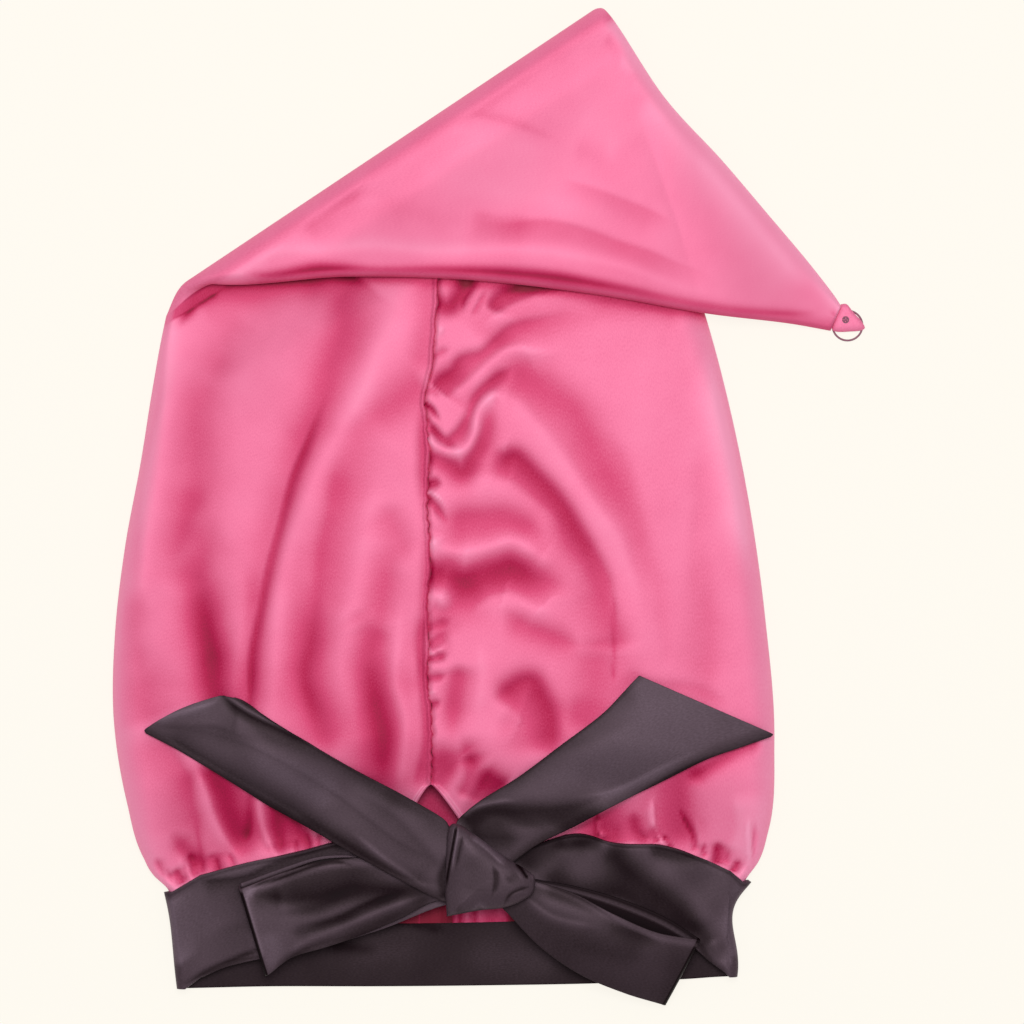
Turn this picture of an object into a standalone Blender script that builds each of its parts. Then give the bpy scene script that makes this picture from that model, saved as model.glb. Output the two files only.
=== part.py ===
"""Long satin sleep bonnet, lying flat with its pointed top folded forward.

+X is to the right of the bow, +Y runs from the band up to the crease of the
folded top, +Z leaves the floor.  The origin is under the middle of the whole
outline, on the floor.  Tables and functions work in millimetres.
"""
import math

import bmesh
import bpy
import numpy as np

METRE = 0.001                   # one millimetre in scene units

# Cloth and gaps
SATIN_WALL = 1.0                # bag wall
BAND_WALL = 2.0                 # doubled band, seam allowance included
TAIL_WALL = 1.8                 # doubled tie end, pressed flat
LOOP_WALL = 1.2                 # one leaf of a bow loop
GAP = 0.3                       # clearance between neighbouring pieces
LOOSE = 0.5                     # further play of the cloth inside and under the bow

# Crease of the folded top: the visible fold runs from CREASE_LEFT to CREASE_RIGHT
CREASE_LEFT = np.array([-154.5, 110.5])
CREASE_RIGHT = np.array([55.5, 250.5])
CREASE_RADIUS = 8.5             # height of the fold's axis over the floor
CREASE_LENGTH = math.pi * CREASE_RADIUS
FOLDED_BAG = 7.0                # thickness of the empty bag where it folds

# Body of the bag
EDGE_SHARE = 0.45               # height of the side edge, as a share of the front's
ROLL_SHARE = 1.6                # width of a side's roll, as a share of its rise
ROLL_LEAST = 2.0
DOME_SIDE = 13.0                # height of the puffed front near its sides
DOME_MIDDLE = 20.0              # height of the puffed front in its middle
DOME_ROUND = 0.8                # fullness of the dome across the bag
DOME_START = 8.0                # flat stretch of the front above the mouth
DOME_RISE = 48.0                # stretch over which the front rises to its dome
RISE_ROUND = 0.75               # fullness of that rise
CREASE_RISE = 75.0              # stretch over which it sinks towards the crease
THIN_START = 0.82               # share of the bag's height where its edges thin
CALM_START = 0.9                # share of its height where the valleys fade out
CALM_EDGE = (3.0, 8.0)          # distance from a side edge where they start, and rise
MOUTH_LIFT = 27.0               # how far the bow pulls the front mouth up
MOUTH_LIFT_REACH = 0.45         # share of the bag's height that follows it
MOUTH_DROP = 8.0                # how far the back mouth hangs down
MOUTH_DROP_REACH = 0.15
MOUTH_POWER = 2.7               # flatness of both mouth curves
TUCK_SHARES = (0.012, 0.03)     # where the back leaves the band for the floor, and over

# Folded top
BEND_SHARE = 0.07               # share of the bag's height spent on the bend
TOP_SHARE = 0.6                 # share of the bag's height in the folded top
TOP_GAP = 0.8                   # gap between the folded top and the front
TOP_SETTLE = 20.0               # stretch over which the bend's play under it closes
TOP_FALL = 45.0                 # stretch beside the bag over which it meets the floor
TOP_FOLD_START = 10.0           # stretch from the bend over which its valleys deepen

# Band
BAND_FOLD = 4.5                 # outer radius of the band's side folds

# Points round the bag
EDGE_STEPS = (0.0, 0.07, 0.25, 0.55, 1.0)   # places in a side roll, as shares of it
FRONT_STEPS = 12                # even steps from a side roll to the seam
BACK_STEPS = 4                  # even steps from a side roll to the back's middle
FOLD_CROWDING = 0.5             # how far the steps crowd into each valley

# Centre-front seam and slit
SEAM_X = -28.5
SEAM_GROOVE = 0.9
SLIT_SHARE = 0.105              # the slit's top, as a share of the bag's height
SLIT_LEFT = 16.0                # spread of the slit's left edge at the mouth
SLIT_RIGHT = 21.0
SLIT_ROUND = (0.7, 0.85)        # curve of its left and right edge
GROOVE_FADE = (0.85, 0.1)       # share of the height where the groove fades, and over

# Bow
TAIL_SEAT = 18.6                # underside of the tie ends at the knot
KNOT_SEAT = TAIL_SEAT + TAIL_WALL + GAP
KNOT_HEIGHT = 9.0

# Flat bag, band end to fold axis: share of the height, left edge, right edge
BODY_SECTIONS = np.array([
    # share, left_x, left_y, right_x, right_y
    (0.000, -159.2, -198.0, 126.6, -193.0),
    (0.014, -160.8, -192.5, 128.6, -187.5),
    (0.033, -168.0, -185.5, 135.0, -178.5),
    (0.065, -173.5, -176.0, 140.0, -163.0),
    (0.160, -181.5, -148.5, 143.0, -118.5),
    (0.300, -188.0, -108.0, 138.5, -57.0),
    (0.450, -187.5, -64.5, 129.0, 9.0),
    (0.600, -182.5, -21.0, 114.5, 74.0),
    (0.750, -174.5, 22.5, 95.0, 137.5),
    (0.880, -168.5, 60.5, 76.0, 192.0),
    (1.000, -162.0, 95.0, 59.5, 243.0),
])

# Folded top as it lies, fold axis to tip: lower edge, right edge, bag thickness
FLAP_SECTIONS = np.array([
    # share, left_x, left_y, right_x, right_y, thickness
    (0.00, -138.5, 111.0, 61.5, 244.0, 7.0),
    (0.20, -72.0, 114.5, 88.0, 204.0, 7.0),
    (0.40, -9.5, 112.5, 116.5, 173.0, 6.5),
    (0.60, 53.0, 105.5, 139.0, 147.0, 6.0),
    (0.80, 113.0, 95.5, 162.0, 120.0, 5.0),
    (0.93, 153.0, 91.0, 174.0, 104.5, 4.4),
    (1.00, 170.5, 88.0, 176.0, 100.5, 4.0),
])

# Valleys pressed into the puffed front: a curved line, its width and depth
FRONT_FOLDS = (
    # from_x, from_y, over_x, over_y, to_x, to_y, width, depth
    (-68.0, 106.0, -88.0, 22.0, -119.0, -98.0, 6.5, 6.0),
    (-44.0, 58.0, -70.0, 44.0, -80.0, -14.0, 6.0, 3.4),
    (-144.0, 72.0, -152.0, 10.0, -138.0, -92.0, 7.5, 5.0),
    (-138.0, -120.0, -128.0, -146.0, -119.0, -171.0, 6.0, 6.0),
    (-88.0, -50.0, -90.0, -86.0, -80.0, -118.0, 6.5, 3.6),
    (-56.0, -66.0, -60.0, -100.0, -52.0, -138.0, 6.0, 5.4),
    (-150.0, -160.0, -146.0, -172.0, -144.0, -184.0, 4.5, 3.6),
    (-108.0, -148.0, -106.0, -158.0, -103.0, -168.0, 6.0, 3.4),
    (-24.0, 64.0, 4.0, 98.0, 48.0, 94.0, 7.0, 3.6),
    (-8.0, 54.0, 14.0, 92.0, 70.0, 2.0, 8.0, 3.4),
    (-26.0, 22.0, -6.0, 8.0, 0.0, 50.0, 7.0, 3.6),
    (5.0, 26.0, 50.0, -4.0, 62.0, -84.0, 8.0, 5.0),
    (-27.0, -32.0, -18.0, -20.0, -12.0, -46.0, 7.5, 4.6),
    (-12.0, -46.0, 6.0, -16.0, 30.0, -38.0, 8.0, 5.0),
    (5.0, -88.0, 34.0, -76.0, 28.0, -116.0, 8.0, 4.2),
    (92.0, -138.0, 98.0, -152.0, 102.0, -166.0, 6.0, 3.4),
)

# Valleys on top of the folded point, in the same columns
FLAP_FOLDS = (
    (10.0, 140.0, 50.0, 146.0, 110.0, 114.0, 10.0, 2.6),
    (36.0, 162.0, 64.0, 156.0, 92.0, 138.0, 8.0, 1.6),
    (-12.0, 192.0, 10.0, 188.0, 34.0, 178.0, 8.0, 1.4),
    (-88.0, 152.0, -40.0, 150.0, 10.0, 142.0, 12.0, 1.8),
)

# Front half of the band, knot to side: top edge, bottom edge, outer height
BAND_LEFT = np.array([
    # top_x, top_y, bottom_x, bottom_y, height
    (-3.0, -173.0, -3.0, -197.0, 14.0),
    (-21.0, -173.0, -24.0, -200.0, 14.0),
    (-44.5, -168.5, -52.0, -211.0, 13.0),
    (-72.0, -168.0, -84.5, -221.0, 12.0),
    (-94.5, -172.0, -109.5, -225.5, 11.0),
    (-119.5, -177.0, -129.5, -230.0, 10.2),
    (-144.5, -185.0, -144.5, -236.0, 9.3),
])
BAND_RIGHT = np.array([
    (-2.0, -174.0, -2.0, -194.0, 14.0),
    (15.5, -172.0, 20.5, -193.5, 14.0),
    (43.0, -163.0, 55.5, -199.5, 13.0),
    (65.5, -166.0, 80.5, -209.5, 12.0),
    (85.5, -170.0, 100.0, -219.0, 11.0),
    (105.5, -176.0, 110.5, -228.0, 10.1),
    (121.0, -183.0, 118.0, -233.5, 9.3),
])
# Side folds: top_x, top_y, bottom_x, bottom_y, bow (its inward curve at mid width)
FOLD_LEFT = (-163.0, -193.5, -156.5, -242.0, 1.0)
FOLD_RIGHT = (131.5, -188.5, 124.5, -236.0, 3.0)

# Back of the band, left to right
BAND_BACK = np.array([
    # top_x, top_y, bottom_x, bottom_y
    (-150.0, -195.0, -146.0, -241.8),
    (-110.0, -199.0, -108.0, -241.0),
    (-55.0, -203.0, -55.0, -241.0),
    (0.0, -204.5, 0.0, -240.5),
    (55.0, -202.0, 55.0, -239.5),
    (100.0, -196.0, 96.0, -237.5),
    (118.0, -190.5, 112.0, -236.4),
])

# Bow pieces, knot to end: upper edge, lower edge, and the stack's height over
# the cloth at each (a tie end drapes over the bag once its stack runs out)
TAIL_LEFT = np.array([
    # upper_x, upper_y, lower_x, lower_y, upper_z, lower_z
    (-19.5, -160.0, -20.5, -198.0, 18.6, 18.6),
    (-24.0, -155.0, -31.0, -193.5, 18.6, 18.6),
    (-44.0, -143.5, -62.0, -178.0, 18.4, 18.2),
    (-65.5, -132.5, -85.5, -165.0, 0.0, 17.0),
    (-86.5, -119.5, -108.0, -153.0, 0.0, 0.0),
    (-106.0, -105.5, -127.5, -140.5, 0.0, 0.0),
    (-119.5, -99.5, -150.5, -126.0, 0.0, 0.0),
    (-126.0, -96.0, -163.0, -119.5, 0.0, 0.0),
    (-133.5, -94.0, -173.0, -112.0, 0.0, 0.0),
])
TAIL_RIGHT = np.array([
    (-18.0, -163.0, 2.0, -186.0, 18.6, 18.6),
    (-15.0, -156.0, 13.0, -177.0, 18.6, 18.6),
    (-4.5, -147.0, 25.0, -168.5, 18.6, 18.6),
    (15.5, -134.5, 42.5, -160.0, 17.6, 18.0),
    (35.5, -119.5, 61.5, -150.0, 0.0, 17.0),
    (55.5, -104.5, 83.0, -139.5, 0.0, 0.0),
    (66.5, -93.5, 108.0, -127.0, 0.0, 0.0),
    (72.0, -87.5, 126.0, -120.5, 0.0, 0.0),
    (74.5, -85.5, 143.0, -115.0, 0.0, 0.0),
])
LOOP_LEFT = np.array([
    # upper_x, upper_y, lower_x, lower_y, upper_z, lower_z, leaf_gap, drop
    (-10.0, -179.0, -10.0, -198.0, 14.3, 14.3, 0.9, 0.0),
    (-24.5, -178.0, -26.0, -197.0, 14.3, 14.3, 0.9, 0.0),
    (-44.5, -175.5, -45.5, -206.5, 13.9, 13.9, 1.0, 0.5),
    (-64.0, -174.5, -65.5, -215.0, 13.1, 13.2, 1.4, 1.0),
    (-83.5, -175.0, -82.0, -220.5, 12.4, 12.6, 2.2, 1.5),
    (-100.5, -180.0, -98.5, -225.5, 11.7, 11.9, 3.0, 2.0),
    (-121.5, -189.0, -110.0, -234.0, 11.0, 11.4, 3.2, 2.5),
])
LOOP_RIGHT = np.array([
    (6.0, -181.0, 1.0, -196.0, 14.3, 14.3, 0.9, 0.0),
    (22.0, -186.0, 8.0, -202.0, 14.3, 14.3, 1.0, 1.0),
    (43.5, -190.0, 25.5, -220.0, 14.0, 12.2, 2.6, 3.5),
    (65.0, -196.0, 45.5, -234.0, 13.3, 8.4, 4.2, 8.0),
    (87.0, -205.0, 67.5, -243.5, 12.3, 4.6, 4.4, 8.5),
    (104.0, -215.5, 86.5, -249.5, 11.4, 1.8, 3.2, 1.0),
])
LOOP_DROOP = 2.2                # how late a loop sinks across its width
LOOP_PUFF = 0.25                # extra swell of the upper leaf in its middle
KNOT_OUTLINE = (
    # x, y
    (-21.0, -206.0), (-21.5, -192.0), (-20.5, -178.0), (-18.0, -160.0),
    (-14.0, -159.5), (-3.0, -166.5), (8.5, -175.0), (20.0, -182.0),
    (23.0, -186.5), (21.5, -193.0), (15.0, -197.5), (8.0, -200.0),
    (4.0, -203.0), (-7.0, -203.5),
)
KNOT_RINGS = (
    # share of the outline, share of the height
    (0.80, 0.00),
    (0.97, 0.12),
    (1.00, 0.34),
    (0.96, 0.60),
    (0.82, 0.84),
    (0.52, 0.97),
)

# Tip
TAB_OUTLINE = (
    (176.5, 101.3), (172.0, 88.7), (182.5, 87.6), (188.3, 88.9),
    (187.0, 92.6), (182.8, 97.2), (179.6, 101.2),
)
TAB_RINGS = (
    # share of the outline, share of the height
    (0.90, 0.00),
    (1.00, 0.25),
    (1.00, 0.70),
    (0.85, 1.00),
)
TAB_THICKNESS = 2.4
LOOP_CENTRE = (179.6, 89.6)
LOOP_RADIUS = 6.6
LOOP_WIRE = 0.5
STUD_CENTRE = (178.8, 93.4)
STUD_RADIUS = 1.9
STUD_FLATNESS = 0.5

PINK = (0.80, 0.175, 0.33)
CHARCOAL = (0.080, 0.056, 0.068)
MAUVE = (0.42, 0.20, 0.27)

ALONG = (CREASE_RIGHT - CREASE_LEFT) / np.linalg.norm(CREASE_RIGHT - CREASE_LEFT)
PAST = np.array([-ALONG[1], ALONG[0]])
AXIS_POINT = CREASE_LEFT - PAST * CREASE_RADIUS


def smooth(value):
    """Ease from 0 to 1, flat at both ends."""
    value = np.clip(value, 0.0, 1.0)
    return value * value * (3.0 - 2.0 * value)


def rolled(distance, width):
    """Quarter ellipse: 0 with a steep start at an edge, 1 from width on."""
    inner = 1.0 - np.clip(distance / width, 0.0, 1.0)
    return np.sqrt(1.0 - inner * inner)


def curve_through(table, share):
    """Smooth curve through a table's rows, whose first column is the share."""
    keys = table[:, 0]
    values = table[:, 1:]
    slopes = np.gradient(values, keys, axis=0)
    row = int(np.clip(np.searchsorted(keys, share) - 1, 0, len(keys) - 2))
    span = keys[row + 1] - keys[row]
    step = (share - keys[row]) / span
    start_weight = (1 + 2 * step) * (1 - step) ** 2
    start_slope = step * (1 - step) ** 2
    end_weight = step * step * (3 - 2 * step)
    end_slope = step * step * (step - 1)
    return (start_weight * values[row] + start_slope * span * slopes[row]
            + end_weight * values[row + 1] + end_slope * span * slopes[row + 1])


def refined(table, steps):
    """Rows of a table with smooth rows added between them."""
    keyed = np.column_stack((np.arange(len(table), dtype=float), table))
    shares = np.linspace(0, len(table) - 1, (len(table) - 1) * steps + 1)
    return np.array([curve_through(keyed, share) for share in shares])


def flat_sections():
    """Sections of the whole bag before its top is folded, and its thickness."""
    rows = [(*row, FOLDED_BAG) for row in BODY_SECTIONS]
    for share, left_x, left_y, right_x, right_y, thickness in FLAP_SECTIONS:
        opened = []
        for point in (np.array([left_x, left_y]), np.array([right_x, right_y])):
            past = (point - AXIS_POINT) @ PAST
            opened.extend(point + PAST * (CREASE_LENGTH - 2 * past))
        rows.append((1 + BEND_SHARE + TOP_SHARE * share, *opened, thickness))
    return np.array(rows)


SECTIONS = flat_sections()


def mouth_curve(across):
    """Shape of both mouth edges: 0 at the sides, 1 in the middle."""
    return 1.0 - np.abs(2.0 * np.clip(across, 0, 1) - 1.0) ** MOUTH_POWER


def side_edges(y):
    """Left and right edge of the bag's body at a height, still unfolded."""
    left = np.interp(y, SECTIONS[:, 2], SECTIONS[:, 1])
    right = np.interp(y, SECTIONS[:, 4], SECTIONS[:, 3])
    return left, right


def band_height(x):
    """Outer height of the front band over the floor."""
    left = np.interp(x, BAND_LEFT[::-1, 0], BAND_LEFT[::-1, 4])
    right = np.interp(x, BAND_RIGHT[:, 0], BAND_RIGHT[:, 4])
    return np.where(x < -10.0, left, right)


def dome(x, y):
    """Height of the front without its side rolls and folds, and where it is."""
    left, right = side_edges(y)
    across = np.clip((x - left) / (right - left), 0.0, 1.0)
    low_left, low_right = BODY_SECTIONS[0, 2], BODY_SECTIONS[0, 4]
    mouth = low_left + (low_right - low_left) * across + MOUTH_LIFT * mouth_curve(across)
    above = y - mouth
    base = band_height(x) - BAND_WALL - GAP - LOOSE
    full = DOME_SIDE + (DOME_MIDDLE - DOME_SIDE) * np.sin(np.pi * across) ** DOME_ROUND
    rise = smooth((above - DOME_START) / DOME_RISE) ** RISE_ROUND
    height = base + (full - base) * rise
    inside = -((x - AXIS_POINT[0]) * PAST[0] + (y - AXIS_POINT[1]) * PAST[1])
    height = FOLDED_BAG + (height - FOLDED_BAG) * smooth(inside / CREASE_RISE)
    return height, x - left, right - x, inside


def roll_width(rise):
    """Width over which the cloth turns down at a side edge."""
    return np.maximum(ROLL_LEAST, ROLL_SHARE * rise)


def valley_depth(folds, x, y):
    """Depth of all the valleys of a table at a place."""
    depth = np.zeros(np.shape(x))
    for from_x, from_y, over_x, over_y, to_x, to_y, width, deep in folds:
        reach = np.full(np.shape(x), 1e9)
        along = np.zeros(np.shape(x))
        for share in np.linspace(0, 1, 25):
            back, mid, ahead = (1 - share) ** 2, 2 * share * (1 - share), share ** 2
            line_x = back * from_x + mid * over_x + ahead * to_x
            line_y = back * from_y + mid * over_y + ahead * to_y
            distance = np.hypot(x - line_x, y - line_y)
            along = np.where(distance < reach, share, along)
            reach = np.minimum(reach, distance)
        fade = smooth(along / 0.25) * smooth((1 - along) / 0.25) * 0.75 + 0.25
        depth = np.maximum(depth, deep * fade * np.exp(-(reach / width) ** 2))
    return depth


def flap_support(x, y):
    """Height that the folded top lies on: the bag's front, then the floor."""
    _, right = side_edges(y)
    beyond = x - right
    height, _, _, inside = dome(np.minimum(x, right), y)
    ground = 1.0 - smooth(beyond / TOP_FALL)
    play = 2 * (CREASE_RADIUS - FOLDED_BAG) - TOP_GAP
    clearance = TOP_GAP + play * (1 - smooth(inside / TOP_SETTLE))
    return (height + clearance) * ground


def fold_top(x, y, z, thickness):
    """Bend the flat bag over its crease and let the top lie on the front."""
    past = (x - AXIS_POINT[0]) * PAST[0] + (y - AXIS_POINT[1]) * PAST[1]
    angle = np.clip(past / CREASE_RADIUS, 0.0, math.pi)
    radius = CREASE_RADIUS - z
    offset = radius * np.sin(angle) - np.maximum(past - CREASE_LENGTH, 0.0)
    offset = np.where(past < 0, past, offset)
    shift = offset - past
    folded_x = x + PAST[0] * shift
    folded_y = y + PAST[1] * shift
    height = np.where(past < 0, z, CREASE_RADIUS - radius * np.cos(angle))
    lift = flap_support(folded_x, folded_y) + thickness - 2 * CREASE_RADIUS
    height = height + lift * smooth((angle - math.pi / 2) / (math.pi / 2))
    lying = smooth((past - CREASE_LENGTH) / TOP_FOLD_START) * smooth(SATIN_WALL - z)
    height = height - lying * valley_depth(FLAP_FOLDS, folded_x, folded_y)
    return folded_x, folded_y, height


def spaced(near, width, count, weigh=None):
    """Distances from a side edge: the near ones, then steps of even weight."""
    places = np.linspace(near[-1], width, 121)
    weight = np.ones(len(places)) if weigh is None else weigh(places)
    total = np.concatenate(([0.0], np.cumsum((weight[1:] + weight[:-1]) / 2)))
    rest = np.interp(np.linspace(0, total[-1], count + 1)[1:], total, places)
    return np.concatenate((near, rest))


def seam_share(share, left_x, right_x):
    """Place of the centre-front seam across a row: straight, then to the tip."""
    axis = SECTIONS[len(BODY_SECTIONS) - 1]
    seam_axis = (SEAM_X - axis[1]) / (axis[3] - axis[1])
    if share <= 1.0:
        return (SEAM_X - left_x) / (right_x - left_x)
    return seam_axis + (0.5 - seam_axis) * smooth((share - 1) / (BEND_SHARE + TOP_SHARE))


def columns_across(share, width, seam, rolls, crowding):
    """Shares of a row's width where its points lie, and which lie on the back."""
    open_share = max(0.0, 1.0 - share / SLIT_SHARE)
    left_width = seam * width - SLIT_LEFT * open_share ** SLIT_ROUND[0]
    right_width = (1 - seam) * width - SLIT_RIGHT * open_share ** SLIT_ROUND[1]
    steps = np.array(EDGE_STEPS)
    front_left = spaced(rolls[0] * steps, left_width, FRONT_STEPS,
                        lambda places: crowding(places / width))
    front_right = spaced(rolls[1] * steps, right_width, FRONT_STEPS,
                         lambda places: crowding(1 - places / width))
    back_left = spaced(rolls[0] * steps[1:-1], width / 2, BACK_STEPS)
    back_right = spaced(rolls[1] * steps[1:-1], width / 2, BACK_STEPS)
    across = np.concatenate((1 - front_right[::-1] / width,
                             1 - back_right / width,
                             back_left[::-1][1:] / width,
                             front_left / width))
    is_back = np.zeros(len(across), dtype=bool)
    is_back[len(front_right):len(across) - len(front_left)] = True
    return across, is_back


def crown_row(share):
    """Loop of points round the bag: front right, back, front left."""
    left_x, left_y, right_x, right_y, thickness = curve_through(SECTIONS, share)
    width = math.hypot(right_x - left_x, right_y - left_y)
    blend = smooth((share - THIN_START) / (1 - THIN_START))
    tuck = (BAND_WALL + GAP) * (1 - smooth((share - TUCK_SHARES[0]) / TUCK_SHARES[1]))
    rolls = []
    for x, y in ((left_x, left_y), (right_x, right_y)):
        side = float(dome(x, y)[0]) * (1 - blend) + thickness * blend
        rolls.append(float(roll_width((1 - EDGE_SHARE) * (side - tuck))))
    seam = seam_share(share, left_x, right_x)
    lift = MOUTH_LIFT * max(0.0, 1.0 - share / MOUTH_LIFT_REACH) ** 2
    drop = MOUTH_DROP * max(0.0, 1.0 - share / MOUTH_DROP_REACH) ** 2
    fade = 1.0 - float(smooth((share - CALM_START) / (1 - CALM_START)))

    def place(across, bow):
        return (left_x + (right_x - left_x) * across,
                left_y + (right_y - left_y) * across + bow * mouth_curve(across))

    def crowding(across):
        return 1.0 + FOLD_CROWDING * fade * valley_depth(FRONT_FOLDS, *place(across, lift))

    across, is_back = columns_across(share, width, seam, rolls, crowding)
    x, y = place(across, np.where(is_back, -drop, lift))

    from_edge = np.minimum(across, 1.0 - across) * width
    height = dome(x, y)[0] * (1 - blend) + thickness * blend
    tucked = np.full(len(across), tuck)
    edge = tucked + EDGE_SHARE * (height - tucked)
    front = edge + (height - edge) * rolled(from_edge, roll_width(height - edge))
    back = tucked + (edge - tucked) * (1 - rolled(from_edge, roll_width(edge - tucked)))
    calm = fade * smooth((from_edge - CALM_EDGE[0]) / CALM_EDGE[1])
    front = front - calm * valley_depth(FRONT_FOLDS, x, y)
    groove = SEAM_GROOVE * (1 - smooth((share - GROOVE_FADE[0]) / GROOVE_FADE[1]))
    front[0] -= groove
    front[-1] -= groove
    return fold_top(x, y, np.where(is_back, back, front), thickness)


def material(name, colour, roughness, sheen):
    """Plain cloth material."""
    made = bpy.data.materials.new(name)
    made.use_nodes = True
    shader = made.node_tree.nodes["Principled BSDF"]
    shader.inputs["Base Color"].default_value = (*colour, 1.0)
    shader.inputs["Roughness"].default_value = roughness
    shader.inputs["Metallic"].default_value = 0.0
    shader.inputs["Sheen Weight"].default_value = sheen
    made.diffuse_color = (*colour, 1.0)
    return made


def add_object(name, points, faces, finish, wall=None, offset=-1.0):
    """Mesh object from points in millimetres, thickened by Solidify if open."""
    mesh = bpy.data.meshes.new(name)
    mesh.from_pydata([tuple(METRE * value for value in point) for point in points], [], faces)
    mesh.materials.append(finish)
    mesh.shade_smooth()
    made = bpy.data.objects.new(name, mesh)
    PIECES.objects.link(made)
    if wall is not None:
        thick = made.modifiers.new("Wall", "SOLIDIFY")
        thick.thickness = wall * METRE
        thick.offset = offset
        thick.use_even_offset = False
    return made


def grid_faces(rows, columns, closed=False):
    """Quads over a grid of points, row by row."""
    faces = []
    last = columns if closed else columns - 1
    for row in range(rows - 1):
        for column in range(last):
            after = (column + 1) % columns
            low, high = row * columns, (row + 1) * columns
            faces.append((low + column, low + after, high + after, high + column))
    return faces


def make_crown(finish):
    """The bag: one wall, open at the mouth and the slit, closed at the tip."""
    slit_rows = [0.0, 0.012, 0.035, 0.07, SLIT_SHARE]
    body_rows = list(np.linspace(0.135, 0.86, 24)) + [0.91, 0.96, 1.0]
    bend_rows = list(1.0 + BEND_SHARE * np.linspace(0, 1, 7)[1:-1])
    flap_rows = list(1.0 + BEND_SHARE + TOP_SHARE * np.linspace(0, 1, 11))
    shares = slit_rows + body_rows + bend_rows + flap_rows
    rows = [np.column_stack(crown_row(share)) for share in shares]

    columns = len(rows[0])
    points = [tuple(point) for row in rows for point in row]
    faces = grid_faces(len(rows), columns)
    top = len(slit_rows) - 1
    joined = {}
    for row in range(top, len(rows)):
        joined[row * columns + columns - 1] = row * columns
    faces = [tuple(joined.get(index, index) for index in face) for face in faces]

    tip = len(points)
    last = (len(rows) - 1) * columns
    points.append(tuple(np.mean(rows[-1], axis=0)))
    for column in range(columns - 1):
        ahead = joined.get(last + column + 1, last + column + 1)
        faces.append((last + column, ahead, tip))
    used = sorted({index for face in faces for index in face})
    renumber = {index: place for place, index in enumerate(used)}
    faces = [tuple(renumber[index] for index in face) for face in faces]
    return add_object("crown", [points[index] for index in used], faces, finish, SATIN_WALL)


def band_rows():
    """Upper edge, lower edge and bow of the band, from knot to knot by the back."""
    rows = []
    for top_x, top_y, bottom_x, bottom_y, height in refined(BAND_LEFT, 2):
        rows.append(((top_x, top_y, height), (bottom_x, bottom_y, height), 0.0))
    rows.extend(band_fold(FOLD_LEFT, 1))
    for top_x, top_y, bottom_x, bottom_y in BAND_BACK:
        rows.append(((top_x, top_y, 0.0), (bottom_x, bottom_y, 0.0), 0.0))
    rows.extend(band_fold(FOLD_RIGHT, -1)[::-1])
    for top_x, top_y, bottom_x, bottom_y, height in refined(BAND_RIGHT, 2)[::-1]:
        rows.append(((top_x, top_y, height), (bottom_x, bottom_y, height), 0.0))
    return rows


def band_fold(corners, side):
    """Half turn of the band at one side, from its front to its back."""
    top_x, top_y, bottom_x, bottom_y, bow = corners
    rows = []
    for angle in np.radians((78, 48, 18, -18, -48, -78)):
        inward = side * BAND_FOLD * (1 - math.cos(angle))
        height = BAND_FOLD * (1 + math.sin(angle))
        rows.append(((top_x + inward, top_y, height),
                     (bottom_x + inward, bottom_y, height), side * bow))
    return rows


def make_band(finish):
    """The doubled band as one bent strip."""
    rows = band_rows()
    steps = np.linspace(0, 1, 4)
    points = []
    for top, bottom, bow in rows:
        for step in steps:
            x, y, z = np.array(top) * (1 - step) + np.array(bottom) * step
            points.append((x + bow * math.sin(math.pi * step), y, z))
    faces = [face[::-1] for face in grid_faces(len(rows), len(steps))]
    return add_object("band", points, faces, finish, BAND_WALL)


def make_tail(name, table, finish, flip):
    """A tie end that leaves the knot and drapes over the bag's front."""
    rows = refined(table, 2)
    steps = np.linspace(0, 1, 5)
    points = []
    for upper_x, upper_y, lower_x, lower_y, upper_z, lower_z in rows:
        for step in steps:
            x = upper_x + (lower_x - upper_x) * step
            y = upper_y + (lower_y - upper_y) * step
            stack = upper_z + (lower_z - upper_z) * step
            cloth = float(dome(np.array(x), np.array(y))[0]) + GAP + LOOSE / 2
            points.append((x, y, max(stack, cloth) + TAIL_WALL))
    faces = grid_faces(len(rows), len(steps))
    if flip:
        faces = [face[::-1] for face in faces]
    return add_object(name, points, faces, finish, TAIL_WALL)


def make_loop(name, table, finish, flip):
    """A bow loop: a lower leaf out from the knot, a turn, an upper leaf back."""
    rows = refined(table, 2)
    steps = np.linspace(0, 1, 5)
    leaves = []
    for row in rows:
        leaves.append(loop_leaf(row, steps, 0.0))
    end = rows[-1]
    before = rows[-2]
    forward = np.array([end[0] - before[0] + end[2] - before[2],
                        end[1] - before[1] + end[3] - before[3]])
    forward = forward / np.linalg.norm(forward)
    radius = end[6] / 2
    for angle in np.radians((-45, 0, 45)):
        turned = loop_leaf(end, steps, 0.5 + 0.5 * math.sin(angle))
        push = forward * radius * math.cos(angle)
        leaves.append([(x + push[0], y + push[1], z) for x, y, z in turned])
    for row in rows[::-1]:
        leaves.append(loop_leaf(row, steps, 1.0))
    points = [point for leaf in leaves for point in leaf]
    faces = grid_faces(len(leaves), len(steps))
    if flip:
        faces = [face[::-1] for face in faces]
    return add_object(name, points, faces, finish, LOOP_WALL, 0.0)


def loop_leaf(row, steps, turn):
    """Points across one leaf of a loop; turn is 0 on the lower leaf, 1 above."""
    upper_x, upper_y, lower_x, lower_y, upper_z, lower_z, leaf_gap, drop = row
    width = math.hypot(lower_x - upper_x, lower_y - upper_y)
    points = []
    for step in steps:
        slid = step + (1 - step) * turn * drop / width
        x = upper_x + (lower_x - upper_x) * slid
        y = upper_y + (lower_y - upper_y) * slid
        z = upper_z + (lower_z - upper_z) * abs(slid) ** LOOP_DROOP + LOOP_WALL / 2
        puff = 1.0 + LOOP_PUFF * math.sin(math.pi * step) * turn
        points.append((x, y, z + (LOOP_WALL + leaf_gap) * turn * puff))
    return points


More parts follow.
